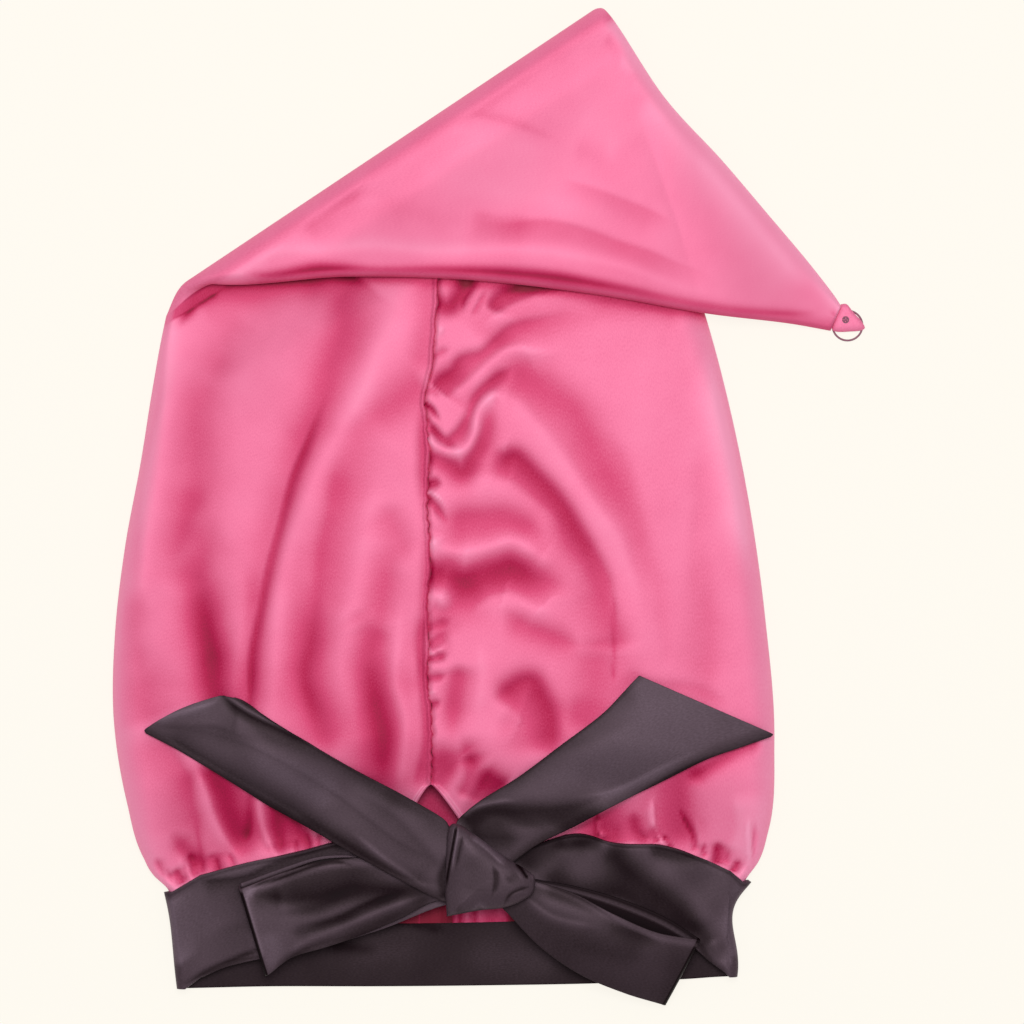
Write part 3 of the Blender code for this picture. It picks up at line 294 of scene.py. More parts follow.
RIGHT_FOLDS = (
    # Right panel, fans of folds from the seam
    (4.9, 4.9, 4.5, 0.03, 0.2, -30.5, 103.5, 9.5, -4.5, 5, 4, 4.5, 7, 4, 8),
    (3.9, 3.2, 8.9, 0.1, 0.3, 0.5, 97, 4, 7, 9.5, 4, 14, 6.5, 22.5, 0.5),
    (1.8, 1.8, 1.1, 0.3, 0.3, -1, 109, -4, -8, -4.5, -7.5),
    (2, 0.9, 1.2, 0.3, 0.3, -5.5, 111, -6.5, -7.5, -1.5, -6.5),
    (-1.8, 1.6, 5.8, 0.25, 0.5, -5.5, 87.5, 12, 9.5, 15.5, 7, 14.5, 1.5, 17, -2.5),
    (3.8, 2.9, 16, 0.03, 0.5, -27.5, 59, 4, 4.5, 6, 3.5, 4, 6, 10, 3, 7.5, 6.5, 7.5, 6.5, 13, 3.5,
     12, 2.5, 15, -1),
    (1.2, 4.3, 6.6, 0.05, 0.6, -30.5, 65.5, 7, 0, 6, 5.5, 6, 4),
    (-2.4, 2.5, 5.1, 0.15, 0.4, -22, 52, 7.5, 6, 8.5, 7, 6.5, 6.5, 11, 7, 14.5, -1.5, 12.5, 0),
    (3.5, 2.4, 4.4, 0.15, 0.2, -23, 35, 6.5, 0.5, 7, 10, 3, 8, 5, 6, 7.5, 6, 6.5, 3.5),
    (2.8, 9.8, 16, 0.15, 0.45, 5.5, 67.5, 7.5, -1.5, 9.5, -4, 8, -5.5, 10, -7, 7.5, -12, 5.5,
     -13.5, 7, -13.5, 9, -16, 6.5, -15, 4.5, -12.5),
    (-3.8, 2.9, 3.4, 0.03, 0.2, -32, 34, 5.5, -5, 7, -2.5, 8, 1.5, 4.5, 8.5, 1, 11, 8, 8, 5.5,
     -2.5),
    (-1.4, 3.6, 7.5, 0.15, 0.4, 2, 55, 9.5, -2, 12.5, -13.5, 10, -12.5, 10.5, -15, 9, -13.5, 10,
     -13.5, 6, -15.5, 5.5, -17, 3.5, -19.5),
    (4.8, 6, 6.9, 0.03, 0.3, -31.5, 25, 7, -0.5, 5.5, -3.5, 6.5, -4.5, 4, 9, 3, 5, 5.5, 13, 3,
     9.5),
    (4.9, 4.6, 11.3, 0.12, 0.4, 1, 29.5, 7, -5.5, 6, 0.5, 9, -9, 7.5, -7.5, 6, -8, 6, -9.5, 9, -15,
     7, -11.5, 2, -10.5, 1.5, -15.5),
    (2.5, 6.9, 14.9, 0.4, 0.2, 48.5, -25.5, 4.5, -13, 5.5, -14.5, 5, -12, 1, -9.5),
    (-1.1, 2.7, 11.3, 0.2, 0.3, -19.5, 13, 15.5, 0.5, 12.5, -2.5, 12.5, -9, 11.5, -9.5, 4, -12.5),
    (3.1, 7.8, 12.3, 0.2, 0.3, -27, -8, 13.5, 1.5, 15.5, 1.5, 8.5, -1, 10.5, -5.5, 8, -5.5),
    (-4.7, 5.3, 10.1, 0.1, 0.3, -31, -13.5, 6, -8.5, 14, -2, 11.5, 2.5, 11.5, 3, 10.5, -6, 11,
     -5.5),
    (6.7, 11.5, 16, 0.03, 0.35, -35, -33.5, 9.5, 1.5, 5.5, 2.5, 7, -6.5, 7.5, 4, 8.5, 2.5, 9.5, 1,
     8.5, -7, 13.5, -5.5, 3.5, -7),
    (-1.6, 3.1, 7.1, 0.3, 0.3, -10, -57.5, 8.5, 9, 12.5, 3.5, 11.5, -6.5, 13, -1.5),
    (2.8, 6.1, 8.2, 0.3, 0.4, 4, -50.5, 10, -7, 11, -5, 15, -6, 7, -0.5),
    (-0.8, 3.4, 2.7, 0.3, 0.3, -5, -67.5, 1.5, -19.5, -3.5, -20),
    (3.5, 6.8, 6.2, 0.3, 0.3, -16, -77.5, 0.5, -8.5, -2, -11.5, -1.5, -24),
    (0.8, 13.8, 3.4, 0.3, 0.2, 45, -91.5, -2.5, -14.5, -7, -16.5),
    (1.5, 7.8, 12.7, 0.4, 0.4, 108.5, -17, 0.5, -32, 0.5, -32, -4, -22),
    (0.8, 6.2, 5.6, 0.4, 0.4, 80, -16.5, 5, -29.5, 4.5, -40.5),
    (-2.8, 7.4, 9.3, 0.3, 0.3, 110, 84, 4.5, -29, 9.5, -31.5, 3.5, -33, 1.5, -30.5),
    # Puckers beside the seam and the slit
    (5.6, 1, 1.8, 0.05, 0.5, -32.5, 51.5, 4, -3, 5, -6.5),
    (2.4, 1.4, 1.7, 0.05, 0.5, -31, 44, 4.5, -6.5, 6.5, -7),
    (0.7, 1.3, 1.3, 0.05, 0.5, -32.5, 47, 6, -3, 5, -6),
    (2.2, 1.9, 1.4, 0.05, 0.5, -32.5, 56.5, 5, 0.5, 3.5, -5),
    (4.8, 2.3, 2.9, 0.05, 0.5, -32.5, 10.5, 5, 1, 5.5, -1.5),
    (4.1, 1.7, 2.5, 0.05, 0.5, -31.5, 5.5, 6, -7, 6, -9.5),
    (-3, 1.1, 1.2, 0.05, 0.5, -32.5, 8, 6.5, -3, 6, -6.5),
    (2.1, 1.5, 1.8, 0.05, 0.5, -31, 72.5, 7.5, 4.5, 5, 1),
    (-1.8, 2, 2.3, 0.05, 0.5, -29.5, 83, 5, 5, 4, 1),
    (-4.4, 6.1, 4.5, 0.05, 0.5, -31.5, -45, 7, -0.5, 3.5, -8.5),
    (2.7, 3.2, 3.3, 0.05, 0.5, -32, -61, 8, 2, 5, 3.5),
    (2.8, 2.3, 6.7, 0.05, 0.5, -30.5, -70, 5.5, 4.5, 7, 4),
    (-2.1, 1, 0.9, 0.05, 0.5, -32.5, -75, 7, 3, 6, 3.5),
    (3.5, 1.9, 2, 0.05, 0.5, -33, -76.5, 8.5, 1, 4.5, 3),
    (3.4, 2.4, 2.1, 0.05, 0.5, -32, -86, 6.5, 0.5, 5, 2),
    (3.5, 1.6, 2.5, 0.05, 0.5, -31, -99.5, 8, 2.5),
    (-1.9, 0.9, 1, 0.05, 0.5, -32.5, -93.5, 7.5, 1),
    (2.8, 6.9, 3.3, 0.2, 0.2, -12.5, -122.5, 2.5, -12, -5.5, -12.5),
    # Right panel, under the upper right tie end
    (4.5, 13.8, 16, 0.2, 0.2, 52.5, -152.5, 5, -10.5, 1, -7.5),
    (3.6, 8.8, 16, 0.2, 0.2, 88, -123, 7.5, -9.5, -0.5, -12, 1.5, -13.5, 8, -18),
    (-3.1, 1, 1.1, 0.3, 0.2, 129.5, -153.5, 1, -18, 1, -13),
    (3.6, 1.8, 1.6, 0.3, 0.2, 133, -156, -0.5, -16, 0, -12.5),
    (-1.6, 16, 2.6, 0.3, 0.2, 122, -142, 4, -17.5, -5.5, -16),
    # Right panel, fans of folds from the seam
    (1.2, 16, 8.5, 0.1, 0.5, -5, 80, 13, 13.5, 23, -0.5, 25, 2, 24.5, 2),
    (1.5, 3.7, 5.4, 0.3, 0.2, 41, 102, 30, -3.5, 31, -4),
    (-0.7, 5.3, 6.3, 0.2, 0.4, -18, 61.5, 14.5, 11, 14, 6, 17.5, 0, 16.5, -0.5),
    (3.3, 1.8, 2, 0.2, 0.3, -30.5, 41, 6.5, -7, 9, -5),
    (1.1, 5.3, 9.9, 0.3, 0.3, 55.5, 40.5, 11, -19, 6.5, -23.5, 4.5, -24, 3.5, -17.5),
    (0.6, 8.3, 4.2, 0.3, 0.3, 105.5, 38, -0.5, -30.5, -2, -31.5, -2.5, -25),
    (2.4, 16, 14.6, 0.3, 0.2, 53.5, -63, -0.5, -17, -1, -19, -9.5, -19),
    (1, 4.6, 4.7, 0.3, 0.3, -24.5, -48, 3.5, -8.5, 7, -10),
    (1.3, 3.2, 12, 0.2, 0.2, 68, -80, 10.5, -9, 22.5, -2, 22.5, -10),
    # Right panel, under the upper right tie end
    (3.8, 5.8, 4.9, 0.2, 0.2, 97, -138, 13.5, 8, 17, 10.5, 11, -0.5),
    # Beside the slit
    (4.2, 11, 16, 0.4, 0.4, -26, -115, 4, -14.5, 8.5, -6),
    (2.6, 6.1, 3.3, 0.4, 0.4, -15, -114, 5.5, -10, 3, -9.5),
    (5.1, 5.3, 15.9, 0.3, 0.3, -6.5, -131.5, 10, -6, 6, -4.5),
    # Gathers at the band
    (2, 1.3, 1.4, 0.1, 0.6, 130.5, -187.5, -0.5, 5.5, -1, 2.5),
    # Side seam
    (1.4, 0.9, 0.9, 0.2, 0.2, 62, -42, 0.5, -25, -0.5, -25),
    (2.8, 0.9, 0.9, 0.1, 0.1, 53.5, -153, 0.5, -6, 0, -8),
    (-2.2, 0.9, 1, 0.2, 0.1, 55, -156, 0, -6, 2.5, -4),
    # Gathers at the band
    (0.5, 2.1, 1.9, 0.4, 0.2, 65, -157.5, -1, -5.5, 0, -5),
    (2.7, 3.2, 3.4, 0.3, 0.2, 72, -151, 2, -11, 6.5, -7.5),
    (-3.8, 0.9, 2.1, 0.3, 0.1, 83, -141.5, -1.5, -10.5, 1.5, -9.5, 3, -5.5, 5, -3),
    (4.3, 1.4, 2.4, 0.4, 0.1, 81, -158, 2.5, -6, 1.5, -4.5),
    (2.8, 1.9, 0.9, 0.4, 0.1, 94, -148.5, 3.5, -8, 4.5, -9, 1, -8.5),
    (3.6, 1.1, 1, 0.4, 0.1, 87, -163.5, 1.5, -4, 3, -4.5),
    (-1.1, 1.4, 1.2, 0.4, 0.1, 102.5, -153, 2, -10, 1.5, -9.5),
    (5.2, 4.4, 2.1, 0.4, 0.1, 115, -167, -1, -5.5, -0.5, -7.5),
    (5.5, 2.4, 1.7, 0.4, 0.1, 124.5, -176, -0.5, -4, -2.5, -3.5),
    (2, 1.7, 1.4, 0.4, 0.1, 119.5, -170, 0, -6, -1, -5),
    (3.5, 1.2, 1.7, 0.4, 0.1, 109, -168, -1.5, -4, 1, -4),
    # Right panel, arch of folds
    (1.1, 15.1, 7.5, 0.3, 0.3, 3.5, -105, 10, -8.5, 1.5, -15),
    (4.5, 5.4, 12.3, 0.2, 0.2, 2, -99, 5, 5, 8, 6, 7, 0.5, 4.5, -8, 4.5, -10.5, 0.5, -13, 0.5,
     -10.5),
)
TOP_FOLDS = (
    # Folded top, seen from above
    (-1.4, 4.6, 3.2, 0.2, 0.3, -142, 117, 16, 5, 18.5, 5.5, 23, 0.5, 25.5, 2.5, 29.5, -3, 35, 0.5,
     30.5, -2.5, 31, -6, 29.5, -10.5, 29, -5),
    (0.6, 6.7, 7.3, 0.3, 0.3, -94.5, 147, 22.5, 4, 25, -1.5, 23.5, -6, 19.5, -1.5),
    (1.7, 2.2, 14.5, 0.3, 0.3, -12, 142.5, 19.5, -2.5, 21, 1, 19, -4, 16, -6, 16, -5, 16, -6.5, 19,
     -6),
    (-0.7, 16, 8.2, 0.3, 0.3, -45, 160.5, 23.5, 4, 27, -7, 25, -4.5, 25.5, -7, 20, -11),
    (1, 2.9, 2.2, 0.3, 0.4, -19, 200, 14.5, -4.5, 16, -4, 14, -5.5, 14, -6),
    (-0.6, 5, 16, 0.3, 0.3, -29.5, 190.5, 19.5, -4.5, 21, -4, 20, -8),
    (1.4, 1.9, 12.1, 0.3, 0.3, 32.5, 163.5, 14, -4.5, 19.5, -7, 15, -6, 13, -6),
    (2.2, 4, 4.2, 0.2, 0.2, 58.5, 236, 6, -4.5, 5, -5.5),
    (-1.8, 4, 2.7, 0.2, 0.2, 65.5, 223.5, 9, -6.5),
    (-0.6, 4.4, 3.4, 0.2, 0.2, 71.5, 212.5, 9, -6),
    (5.3, 11.3, 10.8, 0.3, 0.3, -64.5, 174.5, -20, -20, -18.5, -9.5),
    (-0.7, 13.6, 15.6, 0.3, 0.3, 34.5, 198.5, 21, -14.5, 10, -11),
    (6.1, 3.6, 16, 0.12, 0.2, -127.5, 117.5, 20, -3.5, 23.5, 4, 29, -2.5, 30.5, 0.5, 30, -0.5, 29,
     -2.5, 30, -6, 30, -7, 30.5, -4.5, 29.5, 0.5, 14, 1.5),
    (-1.1, 3.8, 4.5, 0.3, 0.3, -99.5, 139, 15.5, 6, 18.5, 6, 15.5, 2),
    (7, 5, 6.5, 0.2, 0.3, -29.5, 195, 26, 13, 30, 23, 26, 12.5),
    (0.8, 7.5, 6, 0.3, 0.3, 40.5, 179, 10.5, -3, 10, -3),
    (-4.2, 9, 13.6, 0.1, 0.2, 82, 215.5, 22, -26, 22, -28.5, 25.5, -29.5, 20, -23.5),
    (-5, 6.1, 7.8, 0.1, 0.4, -146.5, 112.5, 16, 8, 13, 11.5, 17.5, 6),
    (1.4, 3.2, 16, 0.3, 0.3, -11.5, 147, 16, -4.5, 22, 0),
    # Beside the tab
    (7, 1.7, 1.5, 0.3, 0.3, 172.5, 94, 1.5, 4.5, 3, 3),
)
BAND_FOLDS = (
    # Front of the band
    (4.6, 6.9, 8.1, 0.15, 0.3, 59, -167, 8, -13, 10, -8.5, 20.5, -16.5, 10, -13.5),
    (0.9, 14.9, 4, 0.3, 0.3, 81, -172, 18, -12, 12, -14.5, 8.5, -10.5),
    (1.8, 10.6, 16, 0.2, 0.3, 25.5, -171, 6.5, -6, 18.5, -7, 14, -9, 16.5, -7),
    (3.7, 5.3, 4.6, 0.3, 0.3, 100.5, -204.5, 8.5, -14, 12.5, -12),
    (4, 11.3, 3.4, 0.3, 0.3, 31, -171.5, 17.5, 3.5, 12.5, 2),
    (-0.8, 7.4, 15.9, 0.3, 0.3, 36.5, -180.5, 12.5, 1.5, 6.5, 7.5),
    (1.7, 6.1, 9.5, 0.3, 0.3, -124, -186.5, 4, -16.5, 2.5, -15),
    (3.1, 0.9, 1, 0.3, 0.3, -155, -239.5, 18.5, 9, 23, 9, 19, 3.5),
    # Band, front left
    (3, 1, 8.5, 0.1, 0.1, -149.5, -188, 26, 2, 17, 7.5, 21.5, 6, 14.5, 4),
    (1.2, 10.1, 11.3, 0.3, 0.3, -133.5, -208, 6, -10, 12.5, -1),
    (2.4, 0.9, 1.9, 0.1, 0.1, -154, -240, 6.5, 4, 11, 4, 12.5, 5, 12, 2.5),
    (-2.6, 1.5, 3, 0.1, 0.1, -159.5, -195.5, 2, -16.5, 3, -19.5),
    # Band, front right
    (3.2, 6.4, 3, 0.1, 0.1, 25, -184, 19.5, -9.5, 22, -1.5, 18.5, -12, 20, -10),
    (1.4, 3.8, 6.5, 0.3, 0.3, 41.5, -168.5, 9, -3, 7.5, -1),
    (4.3, 12, 5.3, 0.2, 0.2, 14.5, -184, 10.5, 13, 14.5, 5.5),
    (-1.8, 3, 7.4, 0.1, 0.1, 131.5, -191.5, -7.5, -15.5, 0, -20.5),
    (2.3, 1.5, 3.1, 0.1, 0.2, 105, -218, 6, -10, 10, -6.5),
    (-2.6, 2.8, 4, 0.1, 0.2, 111.5, -217, 4, -8, 7.5, -4.5),
    (3.3, 2.9, 3.8, 0.1, 0.1, 79, -171.5, 16.5, -3.5, 18, 0, 17, -12.5),
)
BACK_FOLDS = (
    # Band, back half below the bow
    (-0.8, 16, 8, 0.3, 0.3, -79.5, -226, 17.5, 1, 19, 2, 20, -4),
    (2.6, 3.3, 3.4, 0.3, 0.3, -83, -220, 14.5, -1.5, 10.5, -1.5),
    (2.6, 4.6, 2.6, 0.2, 0.3, -69.5, -208, 26, 0, 26.5, -7.5),
    (-1.1, 11.6, 10.4, 0.3, 0.3, -22.5, -223.5, 37.5, -3.5, 31.5, -2),
)
TAIL_FOLDS = (
    # Upper left tie end
    (0.8, 1.3, 6.6, 0.3, 0.3, -164.5, -109, 38.5, -9, 41.5, -21.5, 38.5, -28.5, 22, -9.5),
    (4.6, 1.1, 3, 0.3, 0.3, -136.5, -92.5, 14.5, -11, 21, -10, 16.5, -9),
    (3.2, 0.9, 0.9, 0.3, 0.3, -133.5, -93, 16, -8.5, 19, -11, 19, -10.5),
    (-2.1, 1.8, 2.4, 0.3, 0.3, -170.5, -108.5, 9, 3, 15, 4.5, 13.5, 4),
    (1.1, 1.6, 6.6, 0.3, 0.3, -170.5, -110.5, 17, -0.5, 18, -0.5, 13, -5.5),
    (2.5, 3.8, 5.3, 0.3, 0.3, -126.5, -102.5, 19, -14.5, 29.5, -9.5, 29.5, -19, 25, -13),
    (1.8, 5.8, 2.8, 0.3, 0.3, -154.5, -123.5, 23.5, -19.5, 33, -13.5, 28, -14, 26, -19),
    # Upper right tie end
    (5.8, 5.1, 16, 0.1, 0.7, -17, -161, 11, 7, 10, 1, 16.5, 0, 19.5, 1.5, 16.5, 5, 18.5, 6.5),
    (-1.6, 3.3, 4.4, 0.3, 0.4, -6.5, -162.5, 10, 5.5, 15, -5.5, 12.5, 3.5),
    (1.5, 2.8, 8.9, 0.1, 0.4, -11, -163.5, 9, -2.5, 11.5, -0.5, 8, -0.5),
    (0.9, 6.6, 3.5, 0.3, 0.4, -9.5, -150, 20.5, 10, 17.5, 15.5, 28.5, 10.5, 24.5, 12.5),
    (-1.5, 1.1, 16, 0.4, 0.5, 35.5, -146.5, 28, 4.5, 24.5, 12, 28, 12),
    # Upper left tie end
    (1.1, 1.4, 7.1, 0.1, 0.4, -134.5, -94, 7.5, -7.5, 0, -12.5, 13.5, -2.5),
    (-1.8, 11.4, 6.9, 0.3, 0.2, -127, -121, 19, -8.5, 17.5, -11, 18, -9.5),
    (1.7, 4.3, 1.3, 0.1, 0.1, -164, -113, 19.5, -11.5, 25, -14, 24.5, -14.5, 24, -16, 25.5, -14.5,
     21.5, -6),
    (-1.7, 1.3, 1.8, 0.3, 0.3, -70, -161.5, 19, -15.5, 22.5, -15),
    (1.2, 2.6, 9.5, 0.3, 0.1, -70.5, -142, 21.5, -13.5, 13, -13, 12, -13.5),
    (1.8, 4, 7.3, 0.2, 0.05, -56, -137.5, 17.5, -8, 12.5, -12.5, 9, -4),
    (3.4, 2.6, 2.4, 0.1, 0.1, -18.5, -174.5, -5, -11, 2, -11.5),
    # Upper right tie end
    (2, 3, 7.3, 0.1, 0.1, -9.5, -147, 25, 12, 18.5, 15, 21, 15, 19, 17),
    (-2.7, 1.2, 1.6, 0.1, 0.4, -14, -155.5, 7.5, 5, 12, 3, 13, 0),
    (3, 1, 2, 0.1, 0.1, 68.5, -149, 16.5, 11, 19.5, 9.5, 21.5, 6, 13.5, 6),
    (1.8, 12.6, 5.6, 0.3, 0.3, 35, -164.5, 7, 8.5, 20.5, 3),
)
LOOP_FOLDS = (
    # Lower left loop
    (7, 3, 0.9, 0.3, 0.3, -124.5, -191, 19, 8.5, 27.5, 6.5, 14, -0.5),
    (5.5, 0.9, 0.9, 0.3, 0.3, -125.5, -192, 21, 6, 24.5, 8, 14.5, -2),
    (4.6, 16, 4.1, 0.3, 0.3, -120, -192.5, 20, -3.5, 21, 2.5, 14, 4, 27, -3),
    (3.2, 4, 4.4, 0.3, 0.3, -111, -205, 23, 3.5, 18, 6.5, 23.5, 2.5, 18, 3.5),
    (3.2, 1.1, 6.1, 0.3, 0.3, -97.5, -210.5, 19, 4, 20.5, 9, 17.5, 5.5),
    (-3, 2.1, 4.4, 0.3, 0.3, -94, -215.5, 22.5, 6.5, 22.5, 9, 23, 7),
    (3.8, 9.5, 4.4, 0.3, 0.3, -85, -216, 26.5, 7, 22, 11.5, 13, 0.5),
    (-1.1, 6.5, 7.5, 0.3, 0.3, -113.5, -211.5, 5, -11, -2, -11),
    (1.5, 1.7, 2.6, 0.3, 0.3, -110.5, -232.5, 15.5, 9.5, 20.5, 5.5, 25, 8.5),
    # Lower right loop
    (-2.2, 4.2, 5.3, 0.3, 0.3, 19.5, -193.5, 14.5, -6, 20.5, -5.5, 20, -7.5),
    (-1, 16, 16, 0.3, 0.3, 35.5, -212.5, 20, -6.5, 25, -12, 13.5, -3.5),
    # Lower left loop
    (2.5, 4.7, 6.5, 0.2, 0.3, -119, -194, 8, -1.5, 9.5, 0.5),
    (1.9, 2.9, 4.3, 0.2, 0.3, -100.5, -213, 11, 0.5, 12.5, 3, 14.5, 7.5),
    (-1, 1.5, 1.4, 0.2, 0.2, -102.5, -225.5, 10, 7, 20, 8, 20.5, 8.5, 18, 6),
    (1.4, 1.7, 2.3, 0.1, 0.1, -108, -232.5, 9, 7, 14.5, 7.5, 21, 4, 19, 9, 18, 7),
    (-5, 0.9, 3.2, 0.1, 0.1, -123.5, -192.5, 4.5, -15, 6, -20),
    # Lower right loop
    (-1.7, 1, 3.1, 0.2, 0.3, 17.5, -195, 15, -10.5, 24.5, -5),
    (2.6, 1.2, 5.2, 0.1, 0.2, 27, -188, 20.5, -9.5, 19.5, -12.5, 20.5, -9),
    (1, 9.6, 5.2, 0.3, 0.3, 35.5, -217, 25.5, -6, 20, -3.5),
)
KNOT_FOLDS = (
    # Wrapped knot
    (6, 0.6, 0.6, 0.1, 0.3, -16, -158.5, -2, -11, -2.5, -13.5, -1, -9),
    (2.6, 0.9, 0.9, 0.3, 0.4, -13, -161.5, -2, -10.5, -2.5, -11),
    (-2.4, 0.7, 0.7, 0.1, 0.3, -15, -159, -2, -11, -2, -14),
    (2.6, 1.5, 1.1, 0.3, 0.4, 2, -178, 1.5, -6, -0.5, -6, -2, -6),
    (3.1, 0.9, 1.1, 0.3, 0.3, 6.5, -200, 4, 6.5, 6, 3, 5, 1),
    (6, 0.8, 0.8, 0.2, 0.2, 13, -177.5, 3.5, -3.5, 3.5, -5),
    (-2, 0.8, 0.8, 0.3, 0.3, 12, -176, 5, -2, 4, -4, 1.5, -6),
    (1.2, 13.3, 6.1, 0.3, 0.3, -12.5, -171.5, 5, -13.5, -2.5, -12),
    (1.8, 3.4, 3.5, 0.3, 0.3, 8.5, -188, 4, 3, 3.5, 2.5),
    (-1, 1.4, 1.2, 0.3, 0.3, -9.5, -203, 5, 4.5, 5, -4.5),
    (0.7, 1.3, 1.2, 0.3, 0.3, -16, -203, 2, 5),
    # Knot
    (-2.2, 3.5, 0.9, 0.2, 0.2, -10, -163.5, 9.5, -7, 9.5, -9),
    (1.1, 1.7, 2, 0.2, 0.2, -17, -201, 7.5, -2.5, 10, 2.5),
)

# Front half of the band, knot to side: top edge, bottom edge, outer height
BAND_LEFT = np.array([
    # top_x, top_y, bottom_x, bottom_y, height
    (-3, -173, -3, -197, 14),
    (-21, -173, -24, -200, 14),
    (-44.5, -168.5, -52, -211, 13),
    (-72, -168, -84.5, -221, 12),
    (-94.5, -173.4, -109.5, -225.5, 11),
    (-119.5, -178.3, -129.5, -230, 10.2),
    (-144.5, -185, -144.5, -236, 9.3),
])
BAND_RIGHT = np.array([
    (-2, -174, -2, -194, 14),
    (15.5, -172, 20.5, -193.5, 14),
    (43, -164.2, 55.5, -199.5, 13),
    (63.5, -169, 80.5, -209.5, 12),
    (85.5, -170, 100, -219, 11),
    (105.5, -176, 110.5, -228, 10.1),
    (121, -183, 118, -233.5, 9.3),
])
BAND_TURN = 4.5
BAND_EDGE = 0.6
BAND_CLOTH = 49.0               # height of the band's cloth
BAND_SEAM = (0.25, 0.7, 1.6)    # depth, width and place of the seam under its edge
BAND_SEAM_BACK = 0.3
# Side folds: top_x, top_y, bottom_x, bottom_y, bow
FOLD_LEFT = (-163.0, -193.5, -156.5, -242.0, 1.0)
FOLD_RIGHT = (131.5, -188.5, 124.5, -236.0, 7.0)
FOLD_SKEW = 0.62
BAND_BACK = np.array([
    # top_x, top_y, bottom_x, bottom_y
    (-150, -195, -146, -241.8),
    (-110, -197.5, -108, -241),
    (-55, -200.5, -55, -241),
    (0, -201.5, 0, -240.5),
    (55, -199.5, 55, -239.5),
    (100, -194.5, 96, -237.5),
    (118, -190.5, 112, -236.4),
])

# Bow pieces, knot to end: upper edge, lower edge, the stack's height under each
TAIL_LEFT = np.array([
    # upper_x, upper_y, lower_x, lower_y, upper_z, lower_z, bow
    (-19.5, -160, -20.5, -198, 18.6, 18.6, 0),
    (-24, -155, -31, -193.5, 18.6, 18.6, 0),
    (-44, -143.5, -62, -176.8, 18.4, 18.2, 0),
    (-65.5, -132.5, -85.5, -163.3, 12, 17, 0),
    (-86.5, -120.3, -108, -151.2, 0, 6, 0),
    (-106, -108.3, -127.5, -138.8, 0, 0, 0),
    (-119.5, -99.4, -150.5, -124.6, 0, 0, 1),
    (-126, -96, -163, -117.8, 0, 0, 1.6),
    (-134, -94.5, -173.5, -112.5, 0, 0, 2.2),
])
TAIL_RIGHT = np.array([
    (-18, -163, 2, -186, 18.6, 18.6, 0),
    (-15, -156, 13, -177, 18.6, 18.6, 0),
    (-4.5, -147, 25, -168.5, 18.6, 18.6, 0),
    (15.5, -134.5, 42.5, -160, 17.6, 18, 0),
    (35.5, -119.5, 61.5, -150, 12, 17, 0),
    (55.5, -104.5, 83, -139.5, 0, 6, 0),
    (66.5, -93.5, 108, -127, 0, 0, 0),
    (72, -87.5, 126, -120.5, 0, 0, 0),
    (75, -84.5, 143.5, -114.5, 0, 0, 0),
])
LOOP_LEFT = np.array([
    # upper_x, upper_y, lower_x, lower_y, upper_z, lower_z, leaf_gap, drop
    (-10, -179, -10, -198, 14.3, 14.3, 0.9, 0),
    (-24.5, -178, -26, -197, 14.3, 14.3, 0.9, 0),
    (-44.5, -175.5, -45.5, -206.5, 13.9, 13.9, 1, 0.5),
    (-64, -174.5, -65.5, -215, 13.1, 13.2, 1.4, 1),
    (-83.5, -175, -82, -220.5, 12.4, 12.6, 2.2, 1.5),
    (-100.5, -180, -98.5, -225.5, 11.7, 11.9, 3, 2),
    (-123.8, -188.5, -110, -234, 11, 11.4, 3.2, 2.5),
])
LOOP_RIGHT = np.array([
    (6, -181, 1, -196, 14.3, 14.3, 0.9, 0),
    (22, -186, 8, -202, 14.3, 14.3, 1, 1),
    (43.5, -190, 25.5, -220, 14, 12.2, 2.6, 3.5),
    (65, -196, 45.5, -234, 13.3, 8.4, 4.2, 8),
    (87, -205, 67.5, -243.5, 12.3, 4.6, 4.4, 8.5),
    (104, -215.5, 86.5, -249.5, 11.4, 1.8, 3.2, 1),
])
LOOP_DROOP = 2.2
LOOP_PUFF = 0.25
LEAF_GAP = 0.2
TAIL_COLUMNS = 44
TAIL_BLEND = 5.0
TAIL_SINK = 0.8
TAIL_CROWN = (0.7, 0.8)         # height and roundness of a tie end's middle
TIP_BLUNT = 2.4
BOW_CLOTH = 45.0                # width of the cloth of the ties and loops
EDGE_ROUND = 0.3                # rounding of their edges, as a share of the wall
KNOT_OUTLINE = np.array([
    (-21, -204.5), (-21.8, -192), (-21.5, -178), (-20, -160.5),
    (-14, -159), (-3, -166.5), (8.5, -175), (20, -182),
    (23, -186.5), (21.5, -193), (15, -197.5), (8, -200),
    (3, -200.8), (-5, -201.5),
])
KNOT_SEAT = 20.7
KNOT_HEIGHT = 9.0
# Rings at the rim of the knot and the tab: share of the outline, share of the height
PILLOW_RIM = ((0.80, 0.0), (0.93, 0.03), (0.985, 0.12), (1.0, 0.25))

# Tip
TAB_OUTLINE = np.array([
    (176.5, 101.3), (172, 88.7), (182.5, 87.6), (188.3, 88.9),
    (187, 92.6), (182.8, 97.2), (179.6, 101.2),
])
TAB_SEAT = 1.3
TAB_THICKNESS = 2.4
LOOP_CENTRE = (179.9, 90.6)
LOOP_RADIUS = 7.5
LOOP_WIRE = 0.5
STUD_CENTRE = (178.8, 93.4)
STUD_RADIUS = 2.0
STITCH_WIRE = 0.36


# ---------------------------------------------------------------- shape of the cloth

def smooth(value):
    """Ease from 0 to 1, flat at both ends."""
    value = np.clip(value, 0.0, 1.0)
    return value * value * (3.0 - 2.0 * value)


def ramp(value, start, run):
    """0 up to start, 1 from start + run on."""
    return smooth((value - start) / run)


def bell(distance, width, power=2):
    """1 at distance 0, falling off over a width."""
    return np.exp(-(distance / width) ** power)


def hump(value, height, width, place=0.0):
    """Height of a rounded ridge over a place."""
    return height * bell(value - place, width)


